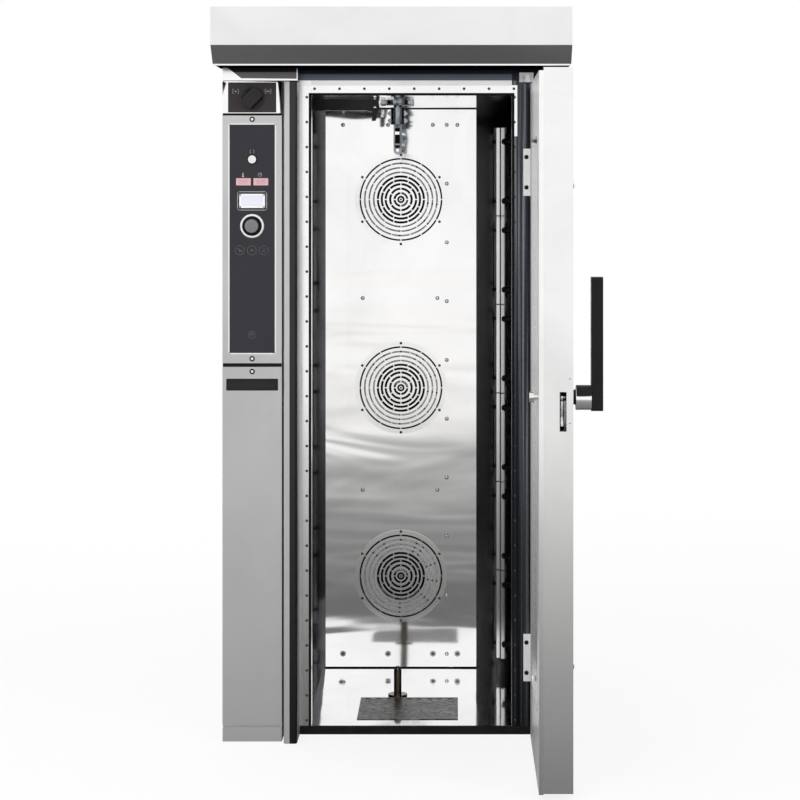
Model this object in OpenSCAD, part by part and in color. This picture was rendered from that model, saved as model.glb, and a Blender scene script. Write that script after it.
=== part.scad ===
// Rotating rack oven, front door shown open at a right angle.
// Frame: origin on the rack's axis of rotation at floor level, +X right,
// +Y to the back of the oven, +Z up. Millimetres.

/* [Cabinet] */
// Width over the two side panels
cabinet_w = 1000; // [980:10:1040]
// Height of the roof above the floor
roof_z = 1985; // [1980:5:2010]
// Distance from the door frame back to the rack's axis
axis_depth = 430; // [420:5:440]
// Distance from the rack's axis back to the rear cover
rear_depth = 742; // [730:2:760]

/* [Cavity] */
// Width between the inner side walls
cavity_w = 760; // [740:10:780]
// Distance from the rack's axis back to the inner rear wall
wall_depth = 432; // [420:2:440]
// Width of the flat middle of the inner rear wall
rear_flat_w = 504; // [480:4:520]
// Height of the cavity's floor
floor_z = 25; // [24:1:30]
// Height of the cavity's ceiling
ceiling_z = 1897; // [1880:1:1900]

/* [Doorway] */
// Left edge of the doorway
doorway_left = -246; // [-250:2:-240]
// Right edge of the doorway
doorway_right = 350; // [340:2:352]

/* [Door] */
// Width of the door
door_w = 700; // [690:5:705]
// Thickness of the door
door_t = 90; // [84:2:96]
// Height of the door's lower edge
door_bottom = 21; // [18:1:26]
// Height of the door's upper edge
door_top = 1932; // [1920:2:1940]
// Height of the lever's spindle
spindle_z = 1060; // [1040:10:1080]
// Height of the lever's free end above its spindle
lever_rise = 319; // [280:1:330]

/* [Control column] */
// Width of the column's panels
column_w = 174; // [170:2:176]
// Distance that the column stands in front of the door frame
column_proud = 98; // [94:1:100]
// Distance that the post stands in front of the door frame
post_proud = 125; // [120:1:130]
// Height of the joint between the control panel and the lower panel
panel_split = 1103; // [1090:1:1110]

/* [Canopy] */
// Width of the canopy
canopy_w = 1030; // [1010:10:1060]
// Distance that the canopy stands in front of the door frame
canopy_proud = 290; // [260:10:300]
// Height of the canopy's top
canopy_top = 2136; // [2130:2:2150]

/* [Fans] */
// Height of the lowest fan's centre
fan_low = 333; // [320:1:340]
// Distance between fan centres
fan_pitch = 630; // [620:1:640]
// Radius of the fan guards
guard_r = 154; // [150:1:158]
// Number of blades on a fan wheel
blades = 18; // [12:1:24]

/* [Hidden] */

skin = 2;            // sheet metal
seat = 12;           // depth of a boxed front panel
run = 0.05;          // radial clearance of a shaft in its bore
face_y = -axis_depth;
column_y = face_y - column_proud;
post_y = face_y - post_proud;
side_x = cabinet_w / 2;
wall_x = cavity_w / 2;
flat_x = rear_flat_w / 2;
corner = wall_x - flat_x;            // run of each 45 degree corner
duct_y = wall_depth - corner;        // where a corner panel meets the side wall
plenum_y = wall_depth + 128;
motor_y = plenum_y + 80;
pan_z = floor_z - 4;
fan_z = [for (i = [0:2]) fan_low + i * fan_pitch];

// Cover strips of the corner panels, measured along the panel
strip_x = 88;
strip_w = 44;
strip_z = 74;
strip_pitch = 293;
notch_z = 48.5;

// Door, given in its closed place and turned open about the hinge pin
gap = 8;                             // room for the gasket behind the door
rim_t = 12;
inner_y = face_y - gap;
outer_y = inner_y - door_t;
hinge_edge = 430;
free_edge = hinge_edge - door_w;
pin_x = 455;
pin_y = inner_y - 53;
pin_r = 6;
door_open = 90;
hinge_z = [228, 1669];
window_left = free_edge + 125;
window_right = hinge_edge - 85;
window_low = 190;
window_high = 1770;
spindle_x = free_edge + 60;
hook_y = outer_y + 27;               // middle plane of the latch hook
hook_t = 10;
hook_r = 88;
slot_low = spindle_z - 86;
slot_high = spindle_z + 18;
lever_t = 31;

// Control column
column_x = -side_x + column_w / 2;
column_right = -side_x + column_w;
post_left = column_right + 7;
post_right = post_left + 39;
glass_low = 1138;
glass_high = 1807;
glass_w = 133;
knob_z = 1510;
button_z = 1705;
switch_z = 1884;
fascia_z = 1936;

// Canopy
canopy_y = face_y - canopy_proud;
canopy_low = 1976;
band_rise = 50;
band_run = 62;
band_t = 1.6;                        // upright thickness of the lip where it meets the grille
canopy_back = 340;
duct_x = 250;
duct_y0 = 130;
duct_r = 75;
flue_x = -250;
flue_y = 500;
flue_r = 50;

// ---------- helpers ----------
// A box given by its two corners
module block(low, high) {
  translate(low) cube([high[0] - low[0], high[1] - low[1], high[2] - low[2]]);
}
// A plate in the X-Z plane with rounded corners, from y0 back to y1
module plate(x0, x1, z0, z1, y0, y1, r) {
  translate([0, y1, 0]) rotate([90, 0, 0]) linear_extrude(y1 - y0)
    rounded(x0, x1, z0, z1, r);
}
module rounded(x0, x1, z0, z1, r) {
  union() {
    translate([x0 + r, z0]) square([x1 - x0 - 2 * r, z1 - z0]);
    translate([x0, z0 + r]) square([x1 - x0, z1 - z0 - 2 * r]);
    for (x = [x0 + r, x1 - r], z = [z0 + r, z1 - r])
      translate([x, z]) circle(r, $fn = 24);
  }
}
// A round bar along Y from y0 back to y1
module bar_y(r, x, z, y0, y1, fn = 48) {
  translate([x, y1, z]) rotate([90, 0, 0]) cylinder(h = y1 - y0, r = r, $fn = fn);
}
// A round bar along Z
module post_z(r, x, y, z0, z1, fn = 48) {
  translate([x, y, z0]) cylinder(h = z1 - z0, r = r, $fn = fn);
}
// Turns a piece drawn on the closed door to the open door's place
module on_door() {
  translate([pin_x, pin_y, 0]) rotate([0, 0, door_open])
    translate([-pin_x, -pin_y, 0]) children();
}
// Plan outline of the cavity with its two cut rear corners
module cavity_plan() {
  polygon([[-wall_x, face_y + skin], [wall_x, face_y + skin], [wall_x, duct_y],
           [flat_x, wall_depth], [-flat_x, wall_depth], [-wall_x, duct_y]]);
}

// ---------- cabinet shell ----------
// Closed double-skinned floor pan, hollow between its webs
module base_pan() {
  bay_x = (cabinet_w - 2 * skin) / 3;
  bay_y = (rear_depth - skin - face_y) / 3;
  color("dimgray") difference() {
    block([-side_x + skin, face_y, 0], [side_x - skin, rear_depth - skin, pan_z]);
    for (i = [0:2], j = [0:2])
      translate([-side_x + skin + i * bay_x + 3, face_y + j * bay_y + 3, skin])
        cube([bay_x - 6, bay_y - 6, pan_z - 2 * skin]);
  }
}
module floor_panel() {
  color("silver") difference() {
    translate([0, 0, pan_z]) linear_extrude(floor_z - pan_z) cavity_plan();
    post_z(12 + run, 0, 0, pan_z - 1, floor_z + 1);
  }
}
module threshold() {
  color("black") block([post_right, face_y - 4, 0], [side_x, face_y, floor_z]);
}
module floor_cover() {
  color("dimgray") difference() {
    block([-114, -350, floor_z], [190, -42, floor_z + 2]);
    for (i = [0:8]) block([-98 + i * 32, -334, floor_z + 1], [-82 + i * 32, -58, floor_z + 3]);
  }
}
module pivot_pin() {
  color("gray") union() {
    post_z(30, 0, 0, floor_z, floor_z + 5);
    post_z(12, 0, 0, pan_z, floor_z + 80);
    translate([0, 0, floor_z + 80]) cylinder(h = 12, r1 = 12, r2 = 4, $fn = 48);
  }
}
module side_wall(side) {
  low = side < 0 ? -wall_x - skin : wall_x;
  block([low, face_y + skin, pan_z], [low + skin, plenum_y, ceiling_z]);
}
module left_wall() { color("silver") side_wall(-1); }
module right_wall() { color("silver") side_wall(1); }
module rear_wall() {
  color("gainsboro") difference() {
    block([-flat_x, wall_depth, pan_z], [flat_x, wall_depth + skin, ceiling_z]);
    for (z = fan_z) bar_y(142, 0, z, wall_depth - 1, wall_depth + 3, 96);
  }
}
module rear_strip() {
  color("silver") block([160, wall_depth - 1.5, floor_z], [174, wall_depth, ceiling_z]);
}
module ceiling_panel() {
  color("silver") difference() {
    translate([0, 0, ceiling_z]) linear_extrude(skin) difference() {
      union() {
        cavity_plan();
        translate([-wall_x, duct_y]) square([cavity_w, plenum_y - duct_y]);
      }
      circle(20, $fn = 48);
      translate([flue_x, flue_y]) circle(flue_r - 3, $fn = 96);
    }
  }
}
// A corner panel with tall air slots either side of a notched cover strip in six lengths
module duct_panel(side) {
  length = corner * sqrt(2) - skin;
  mirror([side < 0 ? 1 : 0, 0, 0])
  translate([flat_x, wall_depth, 0]) rotate([0, 0, -45]) {
    difference() {
      block([0, 0, pan_z], [length, skin, ceiling_z]);
      for (i = [0:5], x = [strip_x - 10, strip_x + strip_w + 2])
        translate([x, skin + 1, strip_z + i * strip_pitch + 22]) rotate([90, 0, 0])
          linear_extrude(skin + 2) rounded(0, 8, 0, strip_pitch - 44, 3.9);
    }
    for (i = [0:5]) translate([strip_x, 0, strip_z + i * strip_pitch]) difference() {
      block([0, -5, 0], [strip_w, 0, strip_pitch - 1.5]);
      // shallow crease along the middle
      block([strip_w / 2 - 1, -6, -1], [strip_w / 2 + 1, -4, strip_pitch]);
      for (x = [0, strip_w], z = [notch_z, strip_pitch - notch_z])
        translate([x, 1, z]) rotate([90, 0, 0]) cylinder(h = 7, r = 7, $fn = 24);
    }
  }
}
module left_duct_panel() { color("silver") duct_panel(-1); }
module right_duct_panel() { color("silver") duct_panel(1); }
module plenum_back() {
  color("silver") difference() {
    block([-wall_x - skin, plenum_y, pan_z], [wall_x + skin, plenum_y + skin, ceiling_z + skin]);
    for (z = fan_z) bar_y(12, 0, z, plenum_y - 1, plenum_y + 3);
  }
}
module side_insulation() {
  color("khaki") for (side = [0, 1]) mirror([side, 0, 0])
    block([wall_x + skin, face_y + skin, pan_z], [side_x - skin, plenum_y + skin, ceiling_z + skin]);
}
module rear_insulation() {
  color("khaki") difference() {
    block([-side_x + skin, plenum_y + skin, pan_z], [side_x - skin, motor_y, ceiling_z + skin]);
    for (z = fan_z) bar_y(12, 0, z, plenum_y, motor_y + 1);
  }
}
module roof_insulation() {
  color("khaki") difference() {
    block([-side_x + skin, face_y + skin, ceiling_z + skin], [side_x - skin, motor_y, roof_z - skin]);
    post_z(20, 0, 0, ceiling_z, roof_z);
    post_z(flue_r + 2, flue_x, flue_y, ceiling_z, roof_z);
  }
}
module side_panel(side) {
  low = side < 0 ? -side_x : side_x - skin;
  difference() {
    block([low, face_y, 0], [low + skin, rear_depth - skin, roof_z]);
    // louvres beside the motors
    for (i = [0:11])
      block([low - 1, motor_y + 18, 300 + i * 24], [low + skin + 1, rear_depth - 24, 308 + i * 24]);
  }
}
module left_side_panel() { color("lightgray") side_panel(-1); }
module right_side_panel() { color("lightgray") side_panel(1); }
module roof_panel() {
  color("lightgray") difference() {
    block([-side_x + skin, face_y + skin, roof_z - skin], [side_x - skin, rear_depth - skin, roof_z]);
    post_z(20, 0, 0, roof_z - 3, roof_z + 1);
    post_z(flue_r + 2, flue_x, flue_y, roof_z - 3, roof_z + 1);
  }
}
// Rear cover in one sheet with a bank of louvres at each motor
module rear_cover() {
  color("lightgray") difference() {
    block([-side_x, rear_depth - skin, 0], [side_x, rear_depth, roof_z]);
    for (z = fan_z, i = [-4:4], x = [-190, 10])
      translate([0, rear_depth + 1, z + i * 26]) rotate([90, 0, 0])
        linear_extrude(skin + 2) rounded(x, x + 180, -5, 5, 4.9);
  }
}

// ---------- doorway ----------
module left_jamb() {
  color("gainsboro") union() {
    block([-side_x + skin, face_y, pan_z], [doorway_left, face_y + skin, roof_z]);
    block([doorway_left - skin, face_y + skin, floor_z], [doorway_left, face_y + 50, ceiling_z]);
  }
}
module right_jamb() {
  color("gainsboro") union() {
    block([doorway_right, face_y, pan_z], [side_x - skin, face_y + skin, roof_z]);
    block([doorway_right, face_y + skin, floor_z], [doorway_right + skin, face_y + 50, ceiling_z]);
  }
}
module door_header() {
  color("slategray")
    block([doorway_left, face_y, ceiling_z], [doorway_right, face_y + skin, roof_z]);
}
// A three-sided strip round the doorway, from its edge at "inset" and "wide" across
module doorway_strip(inset, wide, thick) {
  left = doorway_left - inset;
  right = doorway_right + inset;
  top = ceiling_z + inset;
  translate([0, face_y, 0]) rotate([90, 0, 0]) linear_extrude(thick) difference() {
    translate([left - wide, floor_z]) square([right - left + 2 * wide, top + wide - floor_z]);
    translate([left, floor_z - 1]) square([right - left, top - floor_z + 1]);
  }
}
module gasket_retainer() { color("whitesmoke") doorway_strip(7, 24, 2.5); }
module door_gasket() { color("dimgray") doorway_strip(0, 6.8, gap - 0.5); }

// ---------- control column ----------
module column_body() {
  color("lightgray") difference() {
    block([-side_x, column_y + seat, 42], [column_right, face_y, fascia_z]);
    block([-side_x + skin, column_y + seat + skin, 60], [column_right - skin, face_y + 1, fascia_z - skin]);
    bar_y(9, column_x, switch_z, column_y, column_y + seat + 4);
  }
}
// Rounded upright beside the door, with the latch hook's pocket
module column_post() {
  color("lightgray") difference() {
    linear_extrude(door_top) post_plan(0);
    translate([0, 0, skin]) linear_extrude(door_top - 2 * skin) post_plan(skin);
    block([post_right - 5, hook_y - 12, slot_low - 8], [post_right + 1, hook_y + 12, slot_high + 8]);
  }
}
// Plan of the upright, drawn in by t: round at the front and square at the back
module post_plan(t) {
  rounded(post_left + t, post_right - t, post_y + t, face_y - t, 9 - t);
  translate([post_left + t, face_y - 12]) square([post_right - post_left - 2 * t, 12 - t]);
}
module top_fascia() {
  color("gainsboro") difference() {
    block([-side_x, column_y, fascia_z], [post_right, face_y, canopy_low - skin]);
    block([-side_x + skin, column_y + skin, fascia_z + skin], [post_right - skin, face_y + 1, canopy_low]);
  }
}
module switch_panel() {
  color("black") difference() {
    plate(-side_x, column_right, 1839, fascia_z - 2, column_y, column_y + seat, 2);
    plate(column_x - 71, column_x + 71, 1842, fascia_z - 5, column_y - 1, column_y + 1, 3);
    bar_y(8, column_x, switch_z, column_y - 1, column_y + seat + 1);
  }
}
module main_switch_knob() {
  // Disc with a tapered grip across it
  color("black") union() {
    bar_y(33, column_x, switch_z, column_y - 5, column_y + 0.5, 64);
    intersection() {
      bar_y(32, column_x, switch_z, column_y - 27, column_y - 4, 64);
      translate([column_x, column_y, switch_z]) rotate([0, -45, 0]) block([-34, -28, -19], [34, -3, 19]);
    }
    bar_y(8 - run, column_x, switch_z, column_y + 0.5, column_y + seat + 10);
  }
}
module control_frame() {
  color("lightgray") difference() {
    plate(-side_x, column_right, panel_split + 4, 1835, column_y, column_y + seat, 2);
    // hollow tray behind, round a backed seat for the glass
    difference() {
      plate(-side_x + skin, column_right - skin, panel_split + 4 + skin, 1835 - skin,
            column_y + skin, column_y + seat + 1, 1);
      plate(column_x - glass_w / 2 - skin, column_x + glass_w / 2 + skin, glass_low - skin,
            glass_high + skin, column_y, column_y + 8, 1);
    }
    plate(column_x - glass_w / 2, column_x + glass_w / 2, glass_low, glass_high, column_y - 1, column_y + 6, 1);
    bar_y(12 + 1, column_x, button_z, column_y, column_y + seat + 1);
    bar_y(12 + 1, column_x, knob_z, column_y, column_y + seat + 1);
  }
}
module control_glass() {
  color([0.1, 0.1, 0.12]) difference() {
    plate(column_x - glass_w / 2, column_x + glass_w / 2, glass_low, glass_high, column_y, column_y + 6, 1);
    bar_y(12, column_x, button_z, column_y - 1, column_y + 7);
    bar_y(12, column_x, knob_z, column_y - 1, column_y + 7);
    plate(column_x - 37.5, column_x + 37.5, 1563, 1604, column_y - 1, column_y + 3, 1);
    for (x = [-25.5, 25.5])
      plate(column_x + x - 21.5, column_x + x + 21.5, 1629, 1650, column_y - 1, column_y + 3, 1);
  }
}
// The screen and the two digit windows behind the glass
module display_unit() {
  color("lavender") union() {
    plate(column_x - 37.5, column_x + 37.5, 1563, 1604, column_y, column_y + 3, 1);
    for (x = [-25.5, 25.5])
      plate(column_x + x - 21.5, column_x + x + 21.5, 1629, 1650, column_y, column_y + 3, 1);
  }
}
module start_button() {
  color("silver") union() {
    bar_y(11.7, column_x, button_z, column_y - 5, column_y + 7);
    bar_y(4, column_x, button_z, column_y + 7, column_y + seat - 3);
  }
}
module encoder_ring() {
  color("silver") translate([column_x, column_y, knob_z]) rotate([90, 0, 0]) rotate_extrude($fn = 96)
    polygon([[29, 0], [35, 0], [35, 3], [33, 6], [29, 6]]);
}
module encoder_knob() {
  color("dimgray") union() {
    translate([column_x, column_y - 0.5, knob_z]) rotate([90, 0, 0]) rotate_extrude($fn = 96)
      polygon([[0, 0], [28, 0], [28, 9], [21.5, 20], [19.7, 22], [0, 22]]);
    bar_y(6, column_x, knob_z, column_y - 0.5, column_y + seat - 2);
  }
}
module lower_panel() {
  color("lightgray") difference() {
    plate(-side_x, column_right, 49, panel_split - 4, column_y, column_y + seat, 2);
    plate(-side_x + skin, column_right - skin, 49 + skin, panel_split - 4 - skin,
          column_y + skin, column_y + seat + 1, 1);
    plate(column_x - 76, column_x + 76, 1028, 1063, column_y - 1, column_y + 8, 3);
  }
}
// Dark finger recess of the lower panel
module grip_recess() {
  color("black") difference() {
    plate(column_x - 76, column_x + 76, 1028, 1063, column_y, column_y + 8, 3);
    plate(column_x - 73, column_x + 73, 1031, 1060, column_y - 1, column_y + 6, 2);
  }
}
module kick_plate() {
  color("lightgray") difference() {
    block([-side_x, column_y + 2, 0], [column_right, face_y, 42]);
    block([-side_x + skin, column_y + 2 + skin, skin], [column_right - skin, face_y - skin, 42 - skin]);
  }
}

// ---------- canopy ----------
// Side profile in (y, z), drawn in by t
module canopy_side(t) {
  polygon([[canopy_y + t, canopy_low + band_rise + t * 0.4], [canopy_y + t, canopy_top - t],
           [canopy_back - t, canopy_top - t], [canopy_back - t, roof_z],
           [face_y - 1, roof_z], [face_y - 1, canopy_low],
           [canopy_y + band_run + t, canopy_low]]);
}
module along_x(x0, x1) {
  translate([x0, 0, 0]) rotate([90, 0, 90]) linear_extrude(x1 - x0) children();
}
module canopy_shell() {
  color("whitesmoke") difference() {
    along_x(-canopy_w / 2, canopy_w / 2) canopy_side(0);
    along_x(-canopy_w / 2 + skin, canopy_w / 2 - skin)
      polygon([[canopy_y + skin, canopy_low + band_rise], [canopy_y + skin, canopy_top - skin],
               [canopy_back - skin, canopy_top - skin], [canopy_back - skin, roof_z - 1],
               [face_y + 4, roof_z - 1], [face_y - 3, canopy_low - 1], [canopy_y + band_run, canopy_low - 1]]);
    along_x(-canopy_w / 2 - 1, canopy_w / 2 + 1)
      polygon([[canopy_y - 1, canopy_low + band_rise], [canopy_y - 1, canopy_low - 1],
               [canopy_y + band_run, canopy_low - 1], [canopy_y + band_run, canopy_low + band_t],
               [canopy_y + skin, canopy_low + band_rise]]);
    post_z(duct_r - 3, duct_x, duct_y0, canopy_top - 4, canopy_top + 1, 96);
  }
}
// The dark sloping lip along the canopy's front
module canopy_band() {
  color("dimgray") along_x(-canopy_w / 2, canopy_w / 2)
    polygon([[canopy_y, canopy_low + band_rise], [canopy_y + skin, canopy_low + band_rise],
             [canopy_y + band_run, canopy_low + band_t], [canopy_y + band_run, canopy_low]]);
}
module hood_grille() {
  color("gray") difference() {
    block([-canopy_w / 2 + skin, canopy_y + band_run + 1.5, canopy_low],
          [canopy_w / 2 - skin, face_y - 3.5, canopy_low + skin]);
    for (i = [0:6], x = [-480, -160, 160])
      block([x, canopy_y + 84 + i * 28, canopy_low - 1], [x + 300, canopy_y + 96 + i * 28, canopy_low + 3]);
  }
}
module duct_collar() {
  color("silver") difference() {
    union() {
      post_z(duct_r, duct_x, duct_y0, canopy_top, canopy_top + 60, 96);
      post_z(duct_r + 17, duct_x, duct_y0, canopy_top, canopy_top + 3, 96);
    }
    post_z(duct_r - 3, duct_x, duct_y0, canopy_top - 1, canopy_top + 61, 96);
  }
}
module steam_flue() {
  color("silver") difference() {
    union() {
      post_z(flue_r, flue_x, flue_y, ceiling_z + skin, roof_z + 90, 96);
      post_z(flue_r + 22, flue_x, flue_y, roof_z, roof_z + 3, 96);
    }
    post_z(flue_r - 3, flue_x, flue_y, ceiling_z + skin - 1, roof_z + 91, 96);
  }
}
// Water inlet and the gland for the supply lead, without a lead
module rear_fittings() {
  color("goldenrod") union() {
    bar_y(13.2, -380, 1800, rear_depth + 14, rear_depth + 32);
    translate([-380, rear_depth + 14, 1800]) rotate([90, 0, 0]) cylinder(h = 14, r = 19, $fn = 6);
    difference() {
      translate([380, rear_depth + 14, 1800]) rotate([90, 0, 0]) cylinder(h = 14, r = 24, $fn = 6);
      bar_y(12, 380, 1800, rear_depth + 2, rear_depth + 15);
    }
  }
}
module gearmotor() {
  color("steelblue") union() {
    difference() {
      block([-60, -60, roof_z], [60, 60, roof_z + 95]);
      post_z(12.5 + run, 0, 0, roof_z - 1, roof_z + 60);
      for (x = [-60, 60], y = [-60, 60]) post_z(12, x, y, roof_z + 14, roof_z + 96, 24);
    }
    bar_y(42, 0, roof_z + 50, 60, 220);
    bar_y(46, 0, roof_z + 50, 80, 84);
    for (i = [0:7]) bar_y(46, 0, roof_z + 50, 92 + i * 14, 96 + i * 14);
  }
}

// ---------- rack drive in the cavity ----------
module shaft_bearing() {
  color("silver") difference() {
    union() {
      post_z(36, 0, 0, ceiling_z - 9, ceiling_z, 64);
      block([-52, -14, ceiling_z - 5], [52, 14, ceiling_z]);
      block([-14, -52, ceiling_z - 5], [14, 52, ceiling_z]);
      for (a = [0:90:270]) rotate([0, 0, a]) translate([44, 0, ceiling_z - 11]) cylinder(h = 6, r = 7, $fn = 6);
    }
    post_z(12.5 + run, 0, 0, ceiling_z - 12, ceiling_z + 1);
  }
}
// Fixed arm that stops the rack square to the doorway, with its gusset
module stop_arm() {
  color([0.12, 0.12, 0.12]) union() {
    block([-wall_x, -16, ceiling_z - 26], [-100, 14, ceiling_z]);
    translate([0, 4, 0]) rotate([90, 0, 0]) linear_extrude(8)
      polygon([[-wall_x, ceiling_z - 26], [-wall_x, ceiling_z - 96], [-wall_x + 26, ceiling_z - 96],
               [-wall_x + 96, ceiling_z - 26]]);
    difference() {
      translate([0, 12, 0]) rotate([90, 0, 0]) linear_extrude(24)
        polygon([[-100, ceiling_z], [-60, ceiling_z], [-56, ceiling_z - 20], [-70, ceiling_z - 58],
                 [-82, ceiling_z - 58], [-78, ceiling_z - 30], [-100, ceiling_z - 26]]);
      bar_y(5, -72, ceiling_z - 18, -13, 13, 24);
      block([-84, -5, ceiling_z - 60], [-54, 5, ceiling_z - 8]);
    }
  }
}
// Shaft, split coupling with its bolts, and the slotted hanger hook
module rack_spindle() {
  tip = ceiling_z - 165;
  color("silver") union() {
    post_z(12.5, 0, 0, ceiling_z - 70, roof_z + 58);
    difference() {
      post_z(22, 0, 0, ceiling_z - 70, ceiling_z - 16, 64);
      block([-23, -1, ceiling_z - 71], [-12, 1, ceiling_z - 15]);
      block([12, -1, ceiling_z - 71], [23, 1, ceiling_z - 15]);
    }
    for (x = [-26, 26], z = [35, 58]) {
      translate([x, 16, ceiling_z - z]) rotate([90, 0, 0]) cylinder(h = 32, r = 5, $fn = 24);
      block([min(x, 0.7 * x), -9, ceiling_z - z - 8], [max(x, 0.7 * x), 9, ceiling_z - z + 8]);
    }
    difference() {
      translate([0, 5, 0]) rotate([90, 0, 0]) linear_extrude(10) union() {
        translate([-13, tip + 13]) square([26, ceiling_z - 70 - tip - 13]);
        translate([0, tip + 13]) circle(13, $fn = 48);
      }
      for (s = [[84, 4], [101, 9], [121, 4]])
        translate([0, 6, 0]) rotate([90, 0, 0]) linear_extrude(12)
          translate([-8, ceiling_z - s[0] - s[1]]) square([14, 2 * s[1]]);
      bar_y(5, 0, tip + 14, -6, 6, 24);
    }
  }
}

// ---------- fans ----------
slot_rings = [21, 36, 51, 64, 77, 91, 106, 121, 136];   // middle radius of each slot ring
bridges = [4, 6, 8, 8, 10, 10, 12, 12, 12];              // webs left across each ring
function slot_w(i) = i < 5 ? 7.5 : 5.5;
// Pressed guard: rings of slots broken by staggered webs
module guard_plan() {
  union() {
    difference() {
      circle(guard_r, $fn = 96);
      for (i = [0:8]) difference() {
        circle(slot_rings[i] + slot_w(i) / 2, $fn = 96);
        circle(slot_rings[i] - slot_w(i) / 2, $fn = 96);
      }
    }
    for (i = [0:8], k = [0:bridges[i] - 1]) rotate((k + (i % 2) / 2) * 360 / bridges[i])
      translate([slot_rings[i] - slot_w(i) / 2 - 1, -1.6]) square([slot_w(i) + 2, 3.2]);
  }
}
module fan_guards() {
  color("silver") for (z = fan_z)
    translate([0, wall_depth, z]) rotate([90, 0, 0]) linear_extrude(2.5) guard_plan();
}
// Three round heating elements to a fan, on three studs from the plenum's back
module heating_rings() {
  ring_r = 146;
  first_y = wall_depth + 70;
  color("dimgray") for (z = fan_z) union() {
    for (i = [0:2]) translate([0, first_y + i * 16, z]) rotate([90, 0, 0])
      rotate_extrude($fn = 96) translate([ring_r, 0]) circle(4.2, $fn = 24);
    for (a = [30, 150, 270])
      bar_y(2.5, ring_r * cos(a), z + ring_r * sin(a), first_y - 8, plenum_y, 24);
  }
}
module fan_motors() {
  color("steelblue") for (z = fan_z) difference() {
    union() {
      bar_y(62, 0, z, motor_y, rear_depth - 6);
      bar_y(78, 0, z, motor_y, motor_y + 8);
      block([-26, motor_y + 20, z + 55], [26, rear_depth - 20, z + 82]);
    }
    bar_y(8 + run, 0, z, motor_y - 1, motor_y + 22);
  }
}
// Forward-curved wheel on its shaft
module fan_wheel(z) {
  color("gray") union() {
    bar_y(118, 0, z, plenum_y - 16, plenum_y - 13, 96);
    difference() {
      bar_y(118, 0, z, wall_depth + 30, wall_depth + 32, 96);
      bar_y(92, 0, z, wall_depth + 29, wall_depth + 33, 96);
    }
    for (k = [0:blades - 1])
      translate([0, plenum_y - 16, z]) rotate([90, 0, 0]) linear_extrude(plenum_y - wall_depth - 48)
        rotate(k * 360 / blades) translate([91, 0]) rotate(35) square([26, 2]);
    bar_y(20, 0, z, plenum_y - 44, plenum_y - 16);
    bar_y(8, 0, z, wall_depth + 60, motor_y + 20);
  }
}
module fan_wheel_low() { fan_wheel(fan_z[0]); }
module fan_wheel_mid() { fan_wheel(fan_z[1]); }
module fan_wheel_top() { fan_wheel(fan_z[2]); }

// ---------- door ----------
// Frame-side hinge knuckles and their pins, and the stay bracket over the door
module hinge_brackets() {
  color("silver") {
    stay_bracket(394, face_y - 28, door_top + 5);
    for (z = hinge_z) hinge_bracket(z);
  }
}
// Small bracket with a bush over the door's inner edge
module stay_bracket(x, y, z) {
  difference() {
    union() {
      block([x - 22, face_y - 3, z], [x + 20, face_y, z + 28]);
      block([x - 10, y - 6, z + 3], [x + 10, face_y - 3, z + 7]);
      post_z(9, x, y, z - 2, z + 19, 32);
    }
    post_z(4, x, y, z - 3, z + 20, 24);
  }
}
// One bracket: a leaf on the frame, an arm with a knuckle, and the pin that the door turns on
module hinge_bracket(z) {
  union() {
    block([doorway_right + 34, face_y - 5, z - 70], [side_x - 8, face_y, z + 70]);
    block([pin_x - 10, pin_y, z - 60], [pin_x + 10, face_y, z - 2]);
    post_z(13, pin_x, pin_y, z - 60, z - 2);
    post_z(pin_r, pin_x, pin_y, z - 2, z + 58);
  }
}
// Boxed steel door with a tall window, its hinge leaves and the lock pocket
module door_shell() {
  color("gainsboro") on_door() difference() {
    union() {
      difference() {
        plate(free_edge, hinge_edge, door_bottom, door_top, outer_y, inner_y - rim_t, 3);
        difference() {
          plate(free_edge + skin, hinge_edge - skin, door_bottom + skin, door_top - skin,
                outer_y + skin, inner_y - rim_t - skin, 2);
          plate(window_left - 14, window_right + 14, window_low - 14, window_high + 14, outer_y, inner_y, 12);
        }
        plate(window_left, window_right, window_low, window_high, outer_y - 1, inner_y, 12);
        block([free_edge - 1, hook_y - 9, slot_low], [free_edge + 5, hook_y + 9, slot_high]);
        bar_y(13, spindle_x, spindle_z, outer_y - 1, inner_y);
      }
      // Inner rim that closes on the gasket
      difference() {
        plate(free_edge + 6, hinge_edge - 6, door_bottom - 5, door_top - 8, inner_y - rim_t, inner_y, 6);
        difference() {
          plate(free_edge + 8, hinge_edge - 8, door_bottom - 3, door_top - 10, inner_y - rim_t + skin, inner_y - skin, 5);
          plate(window_left - 4, window_right + 4, window_low - 4, window_high + 4, inner_y - rim_t, inner_y, 12);
        }
        plate(window_left + 12, window_right - 12, window_low + 12, window_high - 12, inner_y - rim_t - 1, inner_y + 1, 8);
        bar_y(9, spindle_x, spindle_z, inner_y - rim_t - 1, inner_y + 1);
      }
      for (z = hinge_z) {
        block([hinge_edge, pin_y - 10, z], [pin_x, pin_y + 10, z + 60]);
        post_z(13, pin_x, pin_y, z, z + 60);
      }
      // Face plate over the lock
      difference() {
        block([free_edge - 1.5, outer_y + 4, slot_low - 2], [free_edge, outer_y + 72, spindle_z + 78]);
        block([free_edge - 2, hook_y - 9, slot_low], [free_edge + 1, hook_y + 9, slot_high]);
      }
      // Catches of the outer pane
      for (z = [351, 1627]) bar_y(13, free_edge + 62, z, outer_y - 5, outer_y);
    }
    for (z = hinge_z) post_z(pin_r + run, pin_x, pin_y, z - 1, z + 61);
  }
}
// Inner and outer panes, set in the door's two rebates
module door_glazing() {
  color([0.15, 0.15, 0.17]) on_door() {
    plate(window_left, window_right, window_low, window_high, outer_y + 2, outer_y + 8, 12);
    plate(window_left, window_right, window_low, window_high, inner_y - rim_t - 6, inner_y - rim_t, 12);
  }
}
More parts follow.
